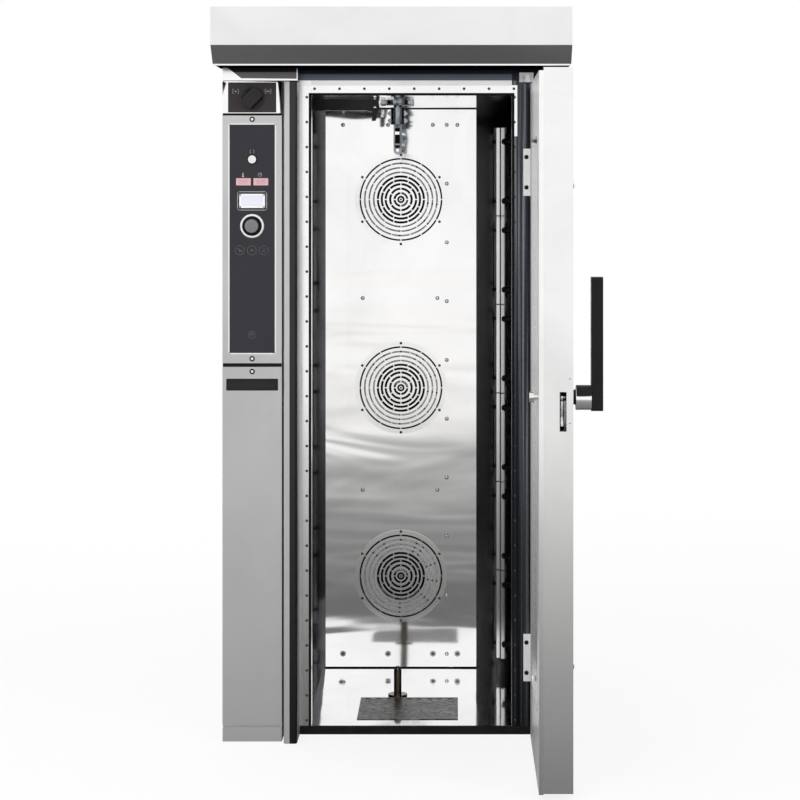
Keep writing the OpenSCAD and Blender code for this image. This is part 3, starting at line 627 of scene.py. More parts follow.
# Each finish: its kind, colour, roughness and the rest; a name stands for a setting of the add-on
BRUSHED_UP, BRUSHED_ACROSS = (700, 700, 3), (4, 600, 600)
LOOKS = {
    "satin_steel": (
        steel, "satin", "satin_roughness", {"stretch": (900, 900, 3), "grain": 0.05, "marks": 0.06},
    ),
    "canopy_steel": (steel, "canopy", 0.46, {"stretch": (3, 900, 900), "marks": 0.02, "metallic": 0.72}),
    "door_steel": (steel, "polished", 0.2, {"stretch": BRUSHED_UP}),
    "door_lining": (steel, (0.95, 0.95, 0.95), 0.28, {"stretch": BRUSHED_UP, "metallic": 0.5}),
    # near-black steel for the plenum behind the fan guards, painted shade there, and for the dark front of
    # the column post
    "dark_polish": (steel, (0.055, 0.053, 0.055), 0.3, {"stretch": BRUSHED_UP, "grain": 0.04, "marks": 0.08}),
    "strip_steel": (steel, (0.62, 0.62, 0.62), 0.3, {"stretch": BRUSHED_UP}),
    "bright_trim": (steel, (0.98, 0.98, 0.975), 0.14, {"stretch": (600, 600, 6)}),
    "wheel_steel": (
        steel, (0.9, 0.89, 0.88), 0.36, {"stretch": (300, 300, 300), "grain": 0.05, "marks": 0.12},
    ),
    # duct steel: painted shade in its darkened colour
    "duct_steel": (
        steel, "ducts", "polish_roughness", {"stretch": (500, 500, 4), "marks": 0.06, "ripple": 0.5 * MM},
    ),
    "polished_steel": (
        bowed_steel, "polished", "polish_roughness",
        {"stretch": (500, 500, 4), "grain": 0.02, "marks": 0.04, "ripple": 4 * MM},
    ),
    "streaked_steel": (streaked_steel, (0.3, 0.3, 0.3), 0.16, {"stretch": (600, 600, 4), "marks": 0.06}),
    # the left jamb and the door header carry painted shade bands under the canopy
    "jamb_steel": (
        steel, (0.2, 0.2, 0.2), 0.2, {"stretch": (600, 600, 4), "bands": painted_canopy_shade((1.0, 1.0, 1.0))},
    ),
    "header_steel": (
        steel, (0.2, 0.2, 0.2), 0.2,
        {"stretch": BRUSHED_ACROSS, "grain": 0.04, "marks": 0.08, "bands": painted_canopy_shade((0.86, 0.86, 0.87))},
    ),
    # the fascia's grey and black bands are painted shade
    "fascia_steel": (
        steel, (0.2, 0.2, 0.2), 0.22,
        {"stretch": BRUSHED_ACROSS, "grain": 0.04, "marks": 0.08, "bands": (1.93, 1.975, FASCIA_SHADE_STOPS)},
    ),
    "lip_coating": (
        brushed, "lip", 0.42, {"stretch": (4, 700, 700), "depth": 0.06, "metallic": 0.1, "raised": True},
    ),
    "grey_cap": (brushed, (0.16, 0.16, 0.165), 0.38, {"stretch": (900, 900, 900), "depth": 0.08}),
    "hanger_steel": (
        plain, (0.34, 0.36, 0.39), 0.3,
        {"metallic": 1.0, "size": 1.0, "stretch": (22, 22, 7), "blur": (0.24, 0.42),
         "tint": ((0.40, 0.43, 0.47), (0.07, 0.07, 0.075))},
    ),
    "pin_steel": (
        plain, (0.10, 0.085, 0.065), 0.25,
        {"metallic": 1.0, "size": 1.0, "stretch": (90, 90, 12),
         "tint": ((0.10, 0.085, 0.065), (0.34, 0.27, 0.16))},
    ),
    "plated_metal": (plain, (0.86, 0.85, 0.83), 0.14, {"metallic": 1.0, "size": 60.0, "blur": (0.12, 0.26)}),
    "brass_metal": (plain, (0.62, 0.44, 0.17), 0.28, {"metallic": 1.0, "size": 60.0, "blur": (0.22, 0.42)}),
    "dark_fixings": (
        plain, (0.10, 0.085, 0.07), 0.35,
        {"metallic": 0.8, "size": 90.0, "tint": ((0.09, 0.08, 0.07), (0.26, 0.19, 0.11))},
    ),
    "worn_screws": (
        plain, (0.50, 0.49, 0.47), 0.3,
        {"metallic": 1.0, "size": 90.0, "tint": ((0.54, 0.53, 0.51), (0.30, 0.28, 0.25))},
    ),
    "aged_brass": (
        plain, (0.26, 0.17, 0.07), 0.34,
        {"metallic": 1.0, "size": 150.0, "tint": ((0.30, 0.20, 0.08), (0.07, 0.05, 0.03))},
    ),
    "baffle_steel": (
        plain, (0.85, 0.83, 0.83), 0.5,
        {"metallic": 0.2, "size": 24.0, "tint": ((0.88, 0.86, 0.86), (0.50, 0.48, 0.48))},
    ),
    "white_trim": (plain, (0.93, 0.93, 0.93), 0.36, {"metallic": 0.3, "size": 60.0, "blur": (0.3, 0.44)}),
    "black_enamel": (
        plain, (0.008, 0.008, 0.008), 0.3, {"size": 14.0, "blur": (0.22, 0.4), "sockets": sheen(0.3)},
    ),
    "lever_coating": (
        plain, (0.006, 0.005, 0.006), 0.34, {"size": 22.0, "blur": (0.26, 0.42), "sockets": sheen(0.2)},
    ),
    "black_plastic": (
        plain, (0.018, 0.0165, 0.018), 0.42,
        {"size": 40.0, "blur": (0.36, 0.5), "grit": (2200.0, 2.0, 0.25, 0.06), "sockets": sheen(0.25)},
    ),
    "inset_plastic": (
        plain, (0.034, 0.028, 0.031), 0.5,
        {"size": 30.0, "blur": (0.45, 0.58), "grit": (1500.0, 2.0, 0.3, 0.08), "sockets": sheen(0.3)},
    ),
    "seal_rubber": (
        plain, (0.008, 0.008, 0.009), 0.7, {"grit": (900.0, 3.0, 0.4, 0.1), "sockets": sheen(0.15)},
    ),
    "mineral_wool": (plain, (0.42, 0.36, 0.22), 0.95, {"grit": (160.0, 6.0, 1.0, 2.0)}),
    "machine_paint": (
        plain, (0.10, 0.13, 0.17), 0.42,
        {"grit": (420.0, 2.0, 0.3, 0.1), "size": 18.0, "tint": ((0.10, 0.13, 0.17), (0.17, 0.19, 0.21))},
    ),
    "panel_glass": (plain, "panel", 0.12, {"size": 9.0, "blur": (0.08, 0.16)}),
    "smoked_glass": (
        plain, (0.32, 0.33, 0.35), 0.02,
        {"size": 3.0, "blur": (0.01, 0.07), "sockets": {"Transmission Weight": 1.0, "IOR": 1.45}},
    ),
    "panel_print": (
        plain, (0.62, 0.62, 0.63), 0.5, {"size": 300.0, "tint": ((0.62, 0.62, 0.63), (0.50, 0.50, 0.51))},
    ),
    "grey_print": (
        plain, (0.30, 0.30, 0.31), 0.5, {"size": 300.0, "tint": ((0.31, 0.31, 0.32), (0.22, 0.22, 0.23))},
    ),
    "faint_print": (
        plain, (0.16, 0.155, 0.165), 0.5,
        {"size": 300.0, "tint": ((0.17, 0.165, 0.175), (0.11, 0.105, 0.115))},
    ),
    "warm_print": (
        plain, (0.42, 0.16, 0.08), 0.5, {"size": 300.0, "tint": ((0.42, 0.16, 0.08), (0.26, 0.10, 0.06))},
    ),
    "digit_ink": (
        plain, (0.40, 0.20, 0.22), 0.5, {"size": 200.0, "tint": ((0.42, 0.22, 0.24), (0.34, 0.16, 0.18))},
    ),
    "screen_window": (lit_window, "screen", 0.25, {"dots": 900}),
    "digit_window": (lit_window, "digits", 0.25, {"dots": 700}),
    "crinkled_plate": (crinkled_plate, (0.06, 0.058, 0.055), 0.3, {}),
}
MADE = {}


def look(name):
    """A finish, made the first time that it is asked for."""
    if name not in MADE:
        make, color, roughness, given = LOOKS[name]
        settings = bpy.context.scene.oven_finish
        color, roughness = [
            getattr(settings, value) if isinstance(value, str) else value for value in (color, roughness)
        ]
        MADE[name] = make(name, color, roughness, **given)
    return MADE[name]


# The nodes that are shown as they are, by finish
NODE_LOOKS = {
    "satin_steel": (
        "base_pan left_side_panel right_side_panel roof_panel rear_cover "
        "column_body duct_collar steam_flue"
    ),
    "jamb_steel": "left_jamb",
    "streaked_steel": "right_jamb",
    "hanger_steel": "shaft_bearing rack_spindle",
    "pin_steel": "pivot_pin",
    "polished_steel": "floor_panel rear_wall rear_strip ceiling_panel",
    "duct_steel": "left_wall right_wall",
    "fascia_steel": "top_fascia",
    "bright_trim": "fan_guards",
    "dark_polish": "plenum_back",
    "white_trim": "encoder_ring hinge_brackets",
    "header_steel": "door_header",
    "lip_coating": "hood_grille",
    "crinkled_plate": "floor_cover",
    "black_enamel": "threshold stop_arm",
    "plated_metal": "start_button",
    "black_plastic": "grip_recess",
    "panel_glass": "control_glass",
    "smoked_glass": "door_glazing",
    "seal_rubber": "door_gasket",
    "mineral_wool": "side_insulation rear_insulation roof_insulation",
    "machine_paint": "gearmotor fan_motors",
    "wheel_steel": "fan_wheel_low fan_wheel_mid fan_wheel_top heating_rings",
    "brass_metal": "rear_fittings",
}


# ---------- groups of like parts ----------
def screws(name, places, radius, finish, height=None, body="cabinet"):
    """One piece of equal screws that face the front."""
    bm = bmesh.new()
    for at in places:
        add_screw(bm, at, FRONT, radius, height)
    piece(name, bm, finish, body)


def washers(name, places, inner, outer, height, finish, steps=20):
    """One piece of equal washers that face the front."""
    bm = bmesh.new()
    for at in places:
        add_washer(bm, at, inner, outer, height, steps)
    piece(name, bm, finish)


def blocks(name, corners, rounding, finish, body="cabinet"):
    """One piece of blocks between pairs of corners."""
    bm = bmesh.new()
    for low, high in corners:
        add_block(bm, low, high, rounding)
    piece(name, bm, finish, body)


def spaced(low, high, inset, count):
    """Even places between two ends, set in from both."""
    return [low + inset + (high - low - 2 * inset) * i / (count - 1) for i in range(count)]


# ---------- operators ----------
class RACKOVEN_OT_finishes(bpy.types.Operator):
    """Give every plain node of the model its finish"""

    bl_idname = "rack_oven.finishes"
    bl_label = "Finishes"

    def execute(self, context):
        for finish, nodes in NODE_LOOKS.items():
            for node in nodes.split():
                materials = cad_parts[node].data.materials
                materials.clear()
                materials.append(look(finish))
        return {"FINISHED"}


class RACKOVEN_OT_folded_panels(bpy.types.Operator):
    """Round the folded edges of the outer sheet panels"""

    bl_idname = "rack_oven.folded_panels"
    bl_label = "Folded panels"

    def execute(self, context):
        fold = context.scene.oven_sizes.fold
        for node in ("control_frame", "lower_panel", "kick_plate"):
            folded(node, node + "_skin", fold * 0.5, "satin_steel")
        folded("canopy_shell", "canopy_skin", fold * 0.5, "canopy_steel")
        folded("canopy_band", "canopy_lip_skin", fold * 0.3, "lip_coating")
        low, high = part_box("column_post")
        # the post's front right of this line is near-black steel
        dark_front_x = low.x + 0.44 * (high.x - low.x)
        post = folded("column_post", "post_skin", fold * 0.4, "satin_steel", cuts=[((dark_front_x, 0, 0), RIGHT)])
        second_finish(post, "dark_polish", lambda centre: centre.x > dark_front_x and centre.y < -0.5)
        return {"FINISHED"}


class RACKOVEN_OT_canopy_trim(bpy.types.Operator):
    """Fit the canopy's bright edge strip and the bright corner and edges of the fascia, which bound its
    painted shade
    """

    bl_idname = "rack_oven.canopy_trim"
    bl_label = "Canopy trim"

    def execute(self, context):
        low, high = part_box("canopy_band")
        ends = (
            (low.x + 2 * MM, high.y - 1.6 * MM, low.z - 4.6 * MM),
            (high.x - 2 * MM, high.y - 0.2 * MM, low.z + 0.6 * MM),
        )
        blocks("canopy_edge_strip", [ends], 0.5 * MM, "bright_trim")
        low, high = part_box("top_fascia")
        inner = high.x - 2.5 * MM
        # the bright plate runs along the fascia's foot and right end and fills its left corner, so the
        # painted shade ends in a slant on the left
        outline = (
            (low.x, low.z), (high.x, low.z), (high.x, high.z), (inner, high.z), (inner, low.z + 5 * MM),
            (low.x + 55 * MM, low.z + 6.5 * MM), (low.x + 14 * MM, high.z), (low.x, high.z),
        )
        bm = bmesh.new()
        add_plate(bm, [(x, low.y, z) for x, z in outline], (0, -1 * MM, 0))
        bmesh.ops.recalc_face_normals(bm, faces=bm.faces)
        bmesh.ops.triangulate(bm, faces=[f for f in bm.faces if len(f.verts) > 4])
        piece("fascia_edge", bm, "bright_trim", smooth=0)
        return {"FINISHED"}


class RACKOVEN_OT_switch_panel(bpy.types.Operator):
    """Finish the main switch: its steel surround, dark inset, signs and knob, with black strokes of painted
    shade along the knob's grip
    """

    bl_idname = "rack_oven.switch_panel"
    bl_label = "Switch panel"

    def execute(self, context):
        folded("switch_panel", "switch_surround", 0.5 * MM, "bright_trim")
        line = context.scene.oven_sizes.print_line
        low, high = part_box("switch_panel")
        y = COLUMN_Y + 0.6 * MM
        ends = (
            (COLUMN_X - 70.6 * MM, y, low.z + 3.4 * MM),
            (COLUMN_X + 70.6 * MM, y + 0.4 * MM, high.z - 3.4 * MM),
        )
        blocks("switch_inset", [ends], 0.15 * MM, "inset_plastic")
        # a bracketed dot for off and a bracketed bar for on
        off, on, z = COLUMN_X - 48.5 * MM, COLUMN_X + 46.6 * MM, SWITCH_SIGN_Z
        top, bottom = z + 6.2 * MM, z - 6.2 * MM
        bm = bmesh.new()
        for x in (off, on):
            for side in (-1, 1):
                edge, inner = x + side * 8.4 * MM, x + side * 5.6 * MM
                add_stroke(bm, [(inner, top), (edge, top), (edge, bottom), (inner, bottom)], line, y)
        add_dot(bm, (off, y, z), 2.5 * MM)
        add_stroke(bm, [(on - 3.2 * MM, z), (on + 3.2 * MM, z)], 3.2 * MM, y)
        piece("switch_signs", bm, "grey_print")
        low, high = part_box("main_switch_knob")
        # black strokes along the grip's two long sides: painted shade on the grip's sides
        bm = bmesh.new()
        for side in (-1, 1):
            aside = Vector((-side * 21.4 * MM, side * 21.4 * MM)) * HALF_ROOT
            reach = Vector((22 * MM, 22 * MM)) * HALF_ROOT
            middle = Vector(((low.x + high.x) / 2, (low.z + high.z) / 2)) + aside
            add_stroke(bm, [middle - reach, middle + reach], 3.4 * MM, COLUMN_Y - 5 * MM, lap=0)
        piece("switch_knob_grooves", bm, "seal_rubber", "switch")
        finish = slot = "black_plastic"
        folded("main_switch_knob", "switch_knob_skin", 1.5 * MM, finish, "switch", 3)
        return {"FINISHED"}


class RACKOVEN_OT_display(bpy.types.Operator):
    """Light the screen and the two digit windows, with their frame and digits"""

    bl_idname = "rack_oven.display"
    bl_label = "Display"

    def execute(self, context):
        windows = folded("display_unit", "display_windows", 0.15 * MM, "screen_window")
        second_finish(windows, "digit_window", lambda centre: centre.z > 1.62)
        bm = bmesh.new()
        add_frame(bm, COLUMN_X, SCREEN_Z, 42.6 * MM, 26.8 * MM, 5.5 * MM, 2.4 * MM, COLUMN_Y)
        piece("display_outline", bm, "grey_print")
        bm = bmesh.new()
        add_frame(bm, COLUMN_X, SCREEN_Z, 35 * MM, 18 * MM, 1.5 * MM, 5 * MM, COLUMN_Y)
        piece("screen_rim", bm, "white_trim")
        bm = bmesh.new()
        for window in (COLUMN_X - 25.5 * MM, COLUMN_X + 25.5 * MM):
            for i in (-1, 0, 1):
                add_digit(bm, window + i * 9 * MM, DIGITS_Z, 5 * MM, 10 * MM, 0.8 * MM, COLUMN_Y)
        piece("window_digits", bm, "digit_ink")
        return {"FINISHED"}


class RACKOVEN_OT_panel_signs(bpy.types.Operator):
    """Print the plain signs on the control glass"""

    bl_idname = "rack_oven.panel_signs"
    bl_label = "Panel signs"

    def execute(self, context):
        line = context.scene.oven_sizes.print_line
        thin, y = line * 0.8, COLUMN_Y
        bm = bmesh.new()
        # two arcs over the start button
        for turn in (0, 180):
            arc = ring_points(COLUMN_X, START_SIGN_Z, 6 * MM, turn - 50, turn + 50, 6)
            add_stroke(bm, arc, line, y)
        # thermometer and clock over the digit windows
        x, z = COLUMN_X - 26.8 * MM, 1.659
        add_stroke(bm, [(x, z - 2 * MM), (x, z + 5 * MM)], 2.2 * MM, y)
        add_dot(bm, (x, y, z - 3.4 * MM), 2.6 * MM)
        x, z = COLUMN_X + 22.7 * MM, 1.6605
        add_stroke(bm, ring_points(x, z, 5.4 * MM, steps=16), thin, y)
        add_stroke(bm, [(x, z + 3.4 * MM), (x, z), (x + 2.6 * MM, z)], thin, y)
        piece("small_signs", bm, "panel_print")
        # three round keys: light, fan and bell
        bm = bmesh.new()
        left, fan, right = COLUMN_X - 36.5 * MM, COLUMN_X - 1.1 * MM, COLUMN_X + 34.1 * MM
        z = KEYS_Z
        for x in (left, fan, right):
            add_stroke(bm, ring_points(x, z, 13.4 * MM, steps=28), thin, y)
        x = left
        add_stroke(bm, [(x - 5 * MM, z + 5 * MM), (x + 1 * MM, z - 1 * MM)], line * 1.2, y)
        bent = [(x - 1 * MM, z - 4 * MM), (x + 4 * MM, z + 1 * MM), (x + 6 * MM, z - 4 * MM)]
        add_stroke(bm, bent, line, y)
        x = right
        add_stroke(bm, ring_points(x, z + 2 * MM, 4.4 * MM, -50, 230, 12), line, y)
        add_stroke(bm, [(x - 2 * MM, z - 4.4 * MM), (x + 2 * MM, z - 4.4 * MM)], line, y)
        # standby sign below
        x, low_z = COLUMN_X - 1.5 * MM, STANDBY_Z
        add_stroke(bm, ring_points(x, low_z, 10.4 * MM, steps=24), thin, y)
        add_stroke(bm, ring_points(x, low_z - 0.6 * MM, 4.6 * MM, 130, 410, 12), line, y)
        add_stroke(bm, [(x, low_z), (x, low_z + 5.4 * MM)], line, y)
        piece("touch_keys", bm, "faint_print")
        bm = bmesh.new()
        for turn in (90, 210, 330):
            add_stroke(bm, [(fan, z)] + ring_points(fan, z, 4.4 * MM, turn, turn + 70, 5), line, y)
        piece("fan_key_sign", bm, "warm_print")
        return {"FINISHED"}


class RACKOVEN_OT_control_knob(bpy.types.Operator):
    """Finish the turning knob: black body, grey cap and bright bezel"""

    bl_idname = "rack_oven.control_knob"
    bl_label = "Control knob"

    def execute(self, context):
        knob = folded("encoder_knob", "control_knob_skin", 0.8 * MM, "seal_rubber", "encoder")
        low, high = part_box("encoder_knob")
        middle = (low + high) / 2

        def on_cap(centre):
            away = math.hypot(centre.x - middle.x, centre.z - middle.z)
            return centre.y < low.y + 0.4 * MM and away < 19.5 * MM

        second_finish(knob, "grey_cap", on_cap)
        at = (middle.x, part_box("encoder_ring")[0].y, middle.z)
        washers("control_knob_bezel", [at], 29.4 * MM, 32.2 * MM, 1 * MM, "white_trim", 64)
        return {"FINISHED"}


class RACKOVEN_OT_panel_screws(bpy.types.Operator):
    """Set the slotted screws with their rings, the seams and bright edge of the control column, and a black
    ring of painted shadow round the start button
    """

    bl_idname = "rack_oven.panel_screws"
    bl_label = "Panel screws"

    def execute(self, context):
        places = [(COLUMN_X, COLUMN_Y, z) for z in PANEL_SCREW_HEIGHTS]
        heads, rings = bmesh.new(), bmesh.new()
        for at in places:
            add_slotted_screw(heads, at, 4.6 * MM, 1.8 * MM)
            add_washer(rings, at, 4.4 * MM, 8 * MM, 0.8 * MM, 24)
        piece("panel_screws", heads, "plated_metal")
        # a black ring round the start button: painted shadow round the button
        low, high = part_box("start_button")
        add_washer(rings, (COLUMN_X, COLUMN_Y, (low.z + high.z) / 2), 12.4 * MM, 15.2 * MM, 0.8 * MM, 32)
        piece("panel_screw_rings", rings, "seal_rubber")
        low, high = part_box("control_frame")
        gaps = ((high.z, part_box("switch_panel")[0].z), (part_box("lower_panel")[1].z, low.z))
        left, right, front = low.x + 1 * MM, high.x - 1 * MM, COLUMN_Y - 0.4 * MM
        ends = [
            ((left, front, below - 1.5 * MM), (right, high.y, above + 1.2 * MM)) for below, above in gaps
        ]
        blocks("panel_seams", ends, 0.3 * MM, "seal_rubber")
        middle, half = (GLASS_LOW + GLASS_HIGH) / 2, (GLASS_HIGH - GLASS_LOW) / 2
        bm = bmesh.new()
        add_frame(
            bm, COLUMN_X, middle.z, half.x + 1.4 * MM, half.z + 1.4 * MM, 2 * MM, 2.8 * MM, COLUMN_Y
        )
        piece("glass_edge", bm, "white_trim")
        return {"FINISHED"}


class RACKOVEN_OT_doorway_screws(bpy.types.Operator):
    """Set the row of screws that holds the seal's strip round the doorway"""

    bl_idname = "rack_oven.doorway_screws"
    bl_label = "Doorway screws"

    def execute(self, context):
        low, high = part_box("gasket_retainer")
        pitch = context.scene.oven_sizes.retainer_pitch
        start = high.z - 36 * MM
        down = int((start - low.z) / pitch) + 1
        places = [(-0.236 + i * pitch, low.y, high.z - 11 * MM) for i in range(9)]
        for x in (low.x + 18 * MM, high.x - 23.4 * MM):
            places += [(x, low.y, start - pitch * i) for i in range(down)]
        screws("doorway_screws", places, 4.2 * MM, "dark_fixings", 1.8 * MM)
        return {"FINISHED"}


class RACKOVEN_OT_wall_fixings(bpy.types.Operator):
    """Set the screws of the cavity's rear wall and guards, what stands behind the guards, black discs of
    painted shade inside the fan wheels, and the seams
    """

    bl_idname = "rack_oven.wall_fixings"
    bl_label = "Wall fixings"

    def execute(self, context):
        columns = (-0.194, -0.043, 0.107, 0.189)
        places = [(x, 1.8425) for x in columns] + [(-0.194, 1.887)]
        places += [(0.1535, 0.072 + i * 0.19675) for i in range(10)]
        places += [(x, z) for x in (-0.128, 0.122) for z in (1.263, 0.621)]
        places = [(x, REAR_Y, z) for x, z in places]
        screws("wall_screws", places, 5.2 * MM, "plated_metal")
        washers("wall_screw_rims", places, 5 * MM, 6.9 * MM, 0.6 * MM, "worn_screws")
        places = [(x, REAR_Y, 0.0725) for x in columns]
        screws("low_wall_screws", places, 5.4 * MM, "aged_brass")
        washers("low_wall_washers", places, 5.2 * MM, 8.4 * MM, 1 * MM, "white_trim")
        washers("low_wall_sealant", places, 8.3 * MM, 9.6 * MM, 0.5 * MM, "dark_fixings")
        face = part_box("fan_guards")[0].y
        places = [
            (149 * MM * math.cos(turn), face, height + 149 * MM * math.sin(turn))
            for height in FAN_HEIGHTS for turn in (math.radians(30 + 60 * i) for i in range(6))
        ]
        screws("guard_screws", places, 4.6 * MM, "dark_fixings", 2.2 * MM)
        bm, ribs = bmesh.new(), bmesh.new()
        for height in FAN_HEIGHTS:
            add_washer(bm, (0, face, height), 6 * MM, 12.5 * MM, 0.4 * MM)
            add_screw(bm, (0, face, height), FRONT, 3.4 * MM, 1.2 * MM)
            for turn, inner in RIBS:
                turn = math.radians(turn)
                ends = [(r * MM * math.cos(turn), height + r * MM * math.sin(turn)) for r in (inner, 126)]
                add_stroke(ribs, ends, 5.5 * MM, REAR_Y + 0.6 * MM, 0.4 * MM, lap=0)
        piece("guard_centres", bm, "seal_rubber")
        places = [(0, REAR_Y + 1.4 * MM, height) for height in FAN_HEIGHTS]
        washers(
            "guard_baffles", places, 84.5 * MM, 127 * MM, 0.8 * MM, "baffle_steel", 64
        )
        piece("guard_baffle_ribs", ribs, "seal_rubber")
        # black discs inside the fan wheels: painted shade
        for fan, height in zip(("fan_low", "fan_mid", "fan_top"), FAN_HEIGHTS):
            bm = bmesh.new()
            profile = [(20 * MM, 0), (90 * MM, 0), (90 * MM, 1 * MM), (20 * MM, 1 * MM), (20 * MM, 0)]
            add_turned(bm, profile, (0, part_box("plenum_back")[0].y - 16 * MM, height), steps=64)
            piece(fan.replace("fan", "fan_backing"), bm, "black_enamel", fan)
        edge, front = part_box("rear_wall")[1].x, REAR_Y - 2.5 * MM
        heights = ((FLOOR_Z, FLOOR_Z + 4 * MM), (CEILING_Z - 3 * MM, CEILING_Z))
        ends = [((-edge, front, bottom), (edge, REAR_Y, top)) for bottom, top in heights]
        blocks("corner_sealant", ends, 1 * MM, "seal_rubber")
        return {"FINISHED"}


class RACKOVEN_OT_panel_rows(bpy.types.Operator):
    """Set the rows of screws along the edges of the rear cover and side panels"""

    bl_idname = "rack_oven.panel_rows"
    bl_label = "Panel rows"

    def execute(self, context):
        edge, radius = 14 * MM, context.scene.oven_sizes.screw
        bm = bmesh.new()
        low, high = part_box("rear_cover")
        sides, ends = (low.x + edge, high.x - edge), (low.z + edge, high.z - edge)
        places = [(x, z) for z in spaced(low.z, high.z, 60 * MM, 10) for x in sides]
        places += [(x, z) for x in spaced(low.x, high.x, 80 * MM, 5) for z in ends]
        for x, z in places:
            add_screw(bm, (x, high.y, z), BACK, radius)
        for side, node in enumerate(("left_side_panel", "right_side_panel")):
            low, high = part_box(node)
            sides, ends = (low.y + edge, high.y - edge), (low.z + edge, high.z - edge)
            places = [(y, z) for z in spaced(low.z, high.z, 70 * MM, 9) for y in sides]
            places += [(y, z) for y in spaced(low.y, high.y, 120 * MM, 4) for z in ends]
            for y, z in places:
                add_screw(bm, ((low.x, high.x)[side], y, z), (LEFT, RIGHT)[side], radius)
        piece("outer_panel_screws", bm, "plated_metal")
        return {"FINISHED"}


class RACKOVEN_OT_hook_window_shade(bpy.types.Operator):
    """Fit black blocks in the windows of the rack's hanger hook, as painted shade seen through them"""

    bl_idname = "rack_oven.hook_pads"
    bl_label = "Hook pads"

    def execute(self, context):
        # black blocks filling the hook's windows: painted shade
        heights = ((1.7532, 1.7620), (1.7671, 1.7955), (1.8053, 1.8157))
        ends = [((-8.5 * MM, -6 * MM, bottom), (7 * MM, 4 * MM, top)) for bottom, top in heights]
        blocks("hook_pads", ends, 1 * MM, "seal_rubber", "spindle")
        return {"FINISHED"}


class RACKOVEN_OT_duct_screws(bpy.types.Operator):
    """Set the hexagon screws beside the corner panels' cover strips, and the strips' ridges"""

    bl_idname = "rack_oven.duct_screws"
    bl_label = "Duct screws"

    def execute(self, context):
        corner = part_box("rear_wall")[1].x
        lengths = [STRIP_START + i * STRIP_PITCH for i in range(6)]
        heads, ridges = bmesh.new(), bmesh.new()
        for side in (-1, 1):
            inward = (-side, -1, 0)
            for along, radius in ((90 * MM, 7 * MM), (139 * MM, 10.5 * MM)):
                out = along * HALF_ROOT
                for z in [start + rise for start in lengths for rise in (48.5 * MM, 244.5 * MM)]:
                    made = bmesh.ops.create_cone(
                        heads, cap_ends=True, segments=6, depth=13 * MM,
                        radius1=radius, radius2=radius - 0.6 * MM,
                    )["verts"]
                    stand = upright((side * (corner + out), REAR_Y - out, z), inward)
                    lift = stand @ Matrix.Translation((0, 0, 6.5 * MM))
                    bmesh.ops.transform(heads, matrix=lift, verts=made)
            for along in (99 * MM, 120 * MM):
                x = side * (corner + (along - 5 * MM) * HALF_ROOT)
                y = REAR_Y - (along + 5 * MM) * HALF_ROOT
                outer, front = x + side * 10.4 * MM, y - 10.4 * MM
                for start in lengths:
                    z = start + 1 * MM
                    add_plate(ridges, ((x, y, z), (x, front, z), (outer, front, z)), (0, 0, 289 * MM))
        piece("duct_screws", heads, "black_enamel", smooth=0)
        bmesh.ops.recalc_face_normals(ridges, faces=ridges.faces)
        piece("duct_ridges", ridges, "bright_trim", smooth=0)
        return {"FINISHED"}


class RACKOVEN_OT_cavity_panels(bpy.types.Operator):
    """Finish the corner panels, darkened as painted shade, with their bright cover strips, and the strip
    round the seal with painted reflections and shade on its right side
    """

    bl_idname = "rack_oven.cavity_panels"
    bl_label = "Cavity panels"

    def execute(self, context):
        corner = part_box("rear_wall")[1].x

        def on_strip(centre):
            return (abs(centre.x) - corner) * HALF_ROOT + (centre.y - REAR_Y) * HALF_ROOT < -0.4 * MM

        # the corner panels' steel is darkened as painted shade
        for node in ("left_duct_panel", "right_duct_panel"):
            panel = folded(node, node + "_skin", 0, "duct_steel")
            second_finish(panel, "strip_steel", on_strip)
        side_x, side_z = 0.366, 1.776
        retainer = folded(
            "gasket_retainer", "retainer_skin", 0.5 * MM, "bright_trim",
            cuts=[((0, 0, side_z), UP), ((side_x, 0, 0), RIGHT)],
        )

        def in_shade(centre):
            return centre.x > 0.35 and centre.z < side_z or centre.x > side_x and centre.z < 1.92

        # the retainer's right side, in shade, takes the painted reflections and painted shade
        second_finish(retainer, "streaked_steel", in_shade)
        return {"FINISHED"}


class RACKOVEN_OT_door_skin(bpy.types.Operator):
    """Round the door's folded edges"""

    bl_idname = "rack_oven.door_skin"
    bl_label = "Door skin"

    def execute(self, context):
        fold = context.scene.oven_sizes.fold
        door = folded("door_shell", "door_skin", fold * 0.4, "door_steel", body="door")
        low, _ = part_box("door_shell")
        second_finish(door, "door_lining", lambda centre: centre.x < low.x + 4 * MM)
        second_finish(
            door, "bright_trim", lambda centre: centre.x < low.x + 12.5 * MM and centre.y < low.y + 20 * MM
        )
        return {"FINISHED"}


class RACKOVEN_OT_door_fixings(bpy.types.Operator):
    """Set the screws of the lock plate and the hinge leaves"""

    bl_idname = "rack_oven.door_fixings"
    bl_label = "Door fixings"

    def execute(self, context):
        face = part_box("door_shell")[0].y
        places = [(0.4825, face, z) for z in (1.1146, 0.998)]
        places += [(0.4254, face + 1.5 * MM, z) for z in (1.0935, 1.0184)]
        screws("lock_screws", places, 3.6 * MM, "plated_metal", 1.4 * MM, "door")
        places = [
            (x, -0.435, middle + reach * MM)
            for middle in HINGE_HEIGHTS for x in (0.393, 0.475) for reach in (-45, 45)
        ]
        screws("hinge_screws", places, 6.6 * MM, "black_enamel", 3 * MM)
        return {"FINISHED"}


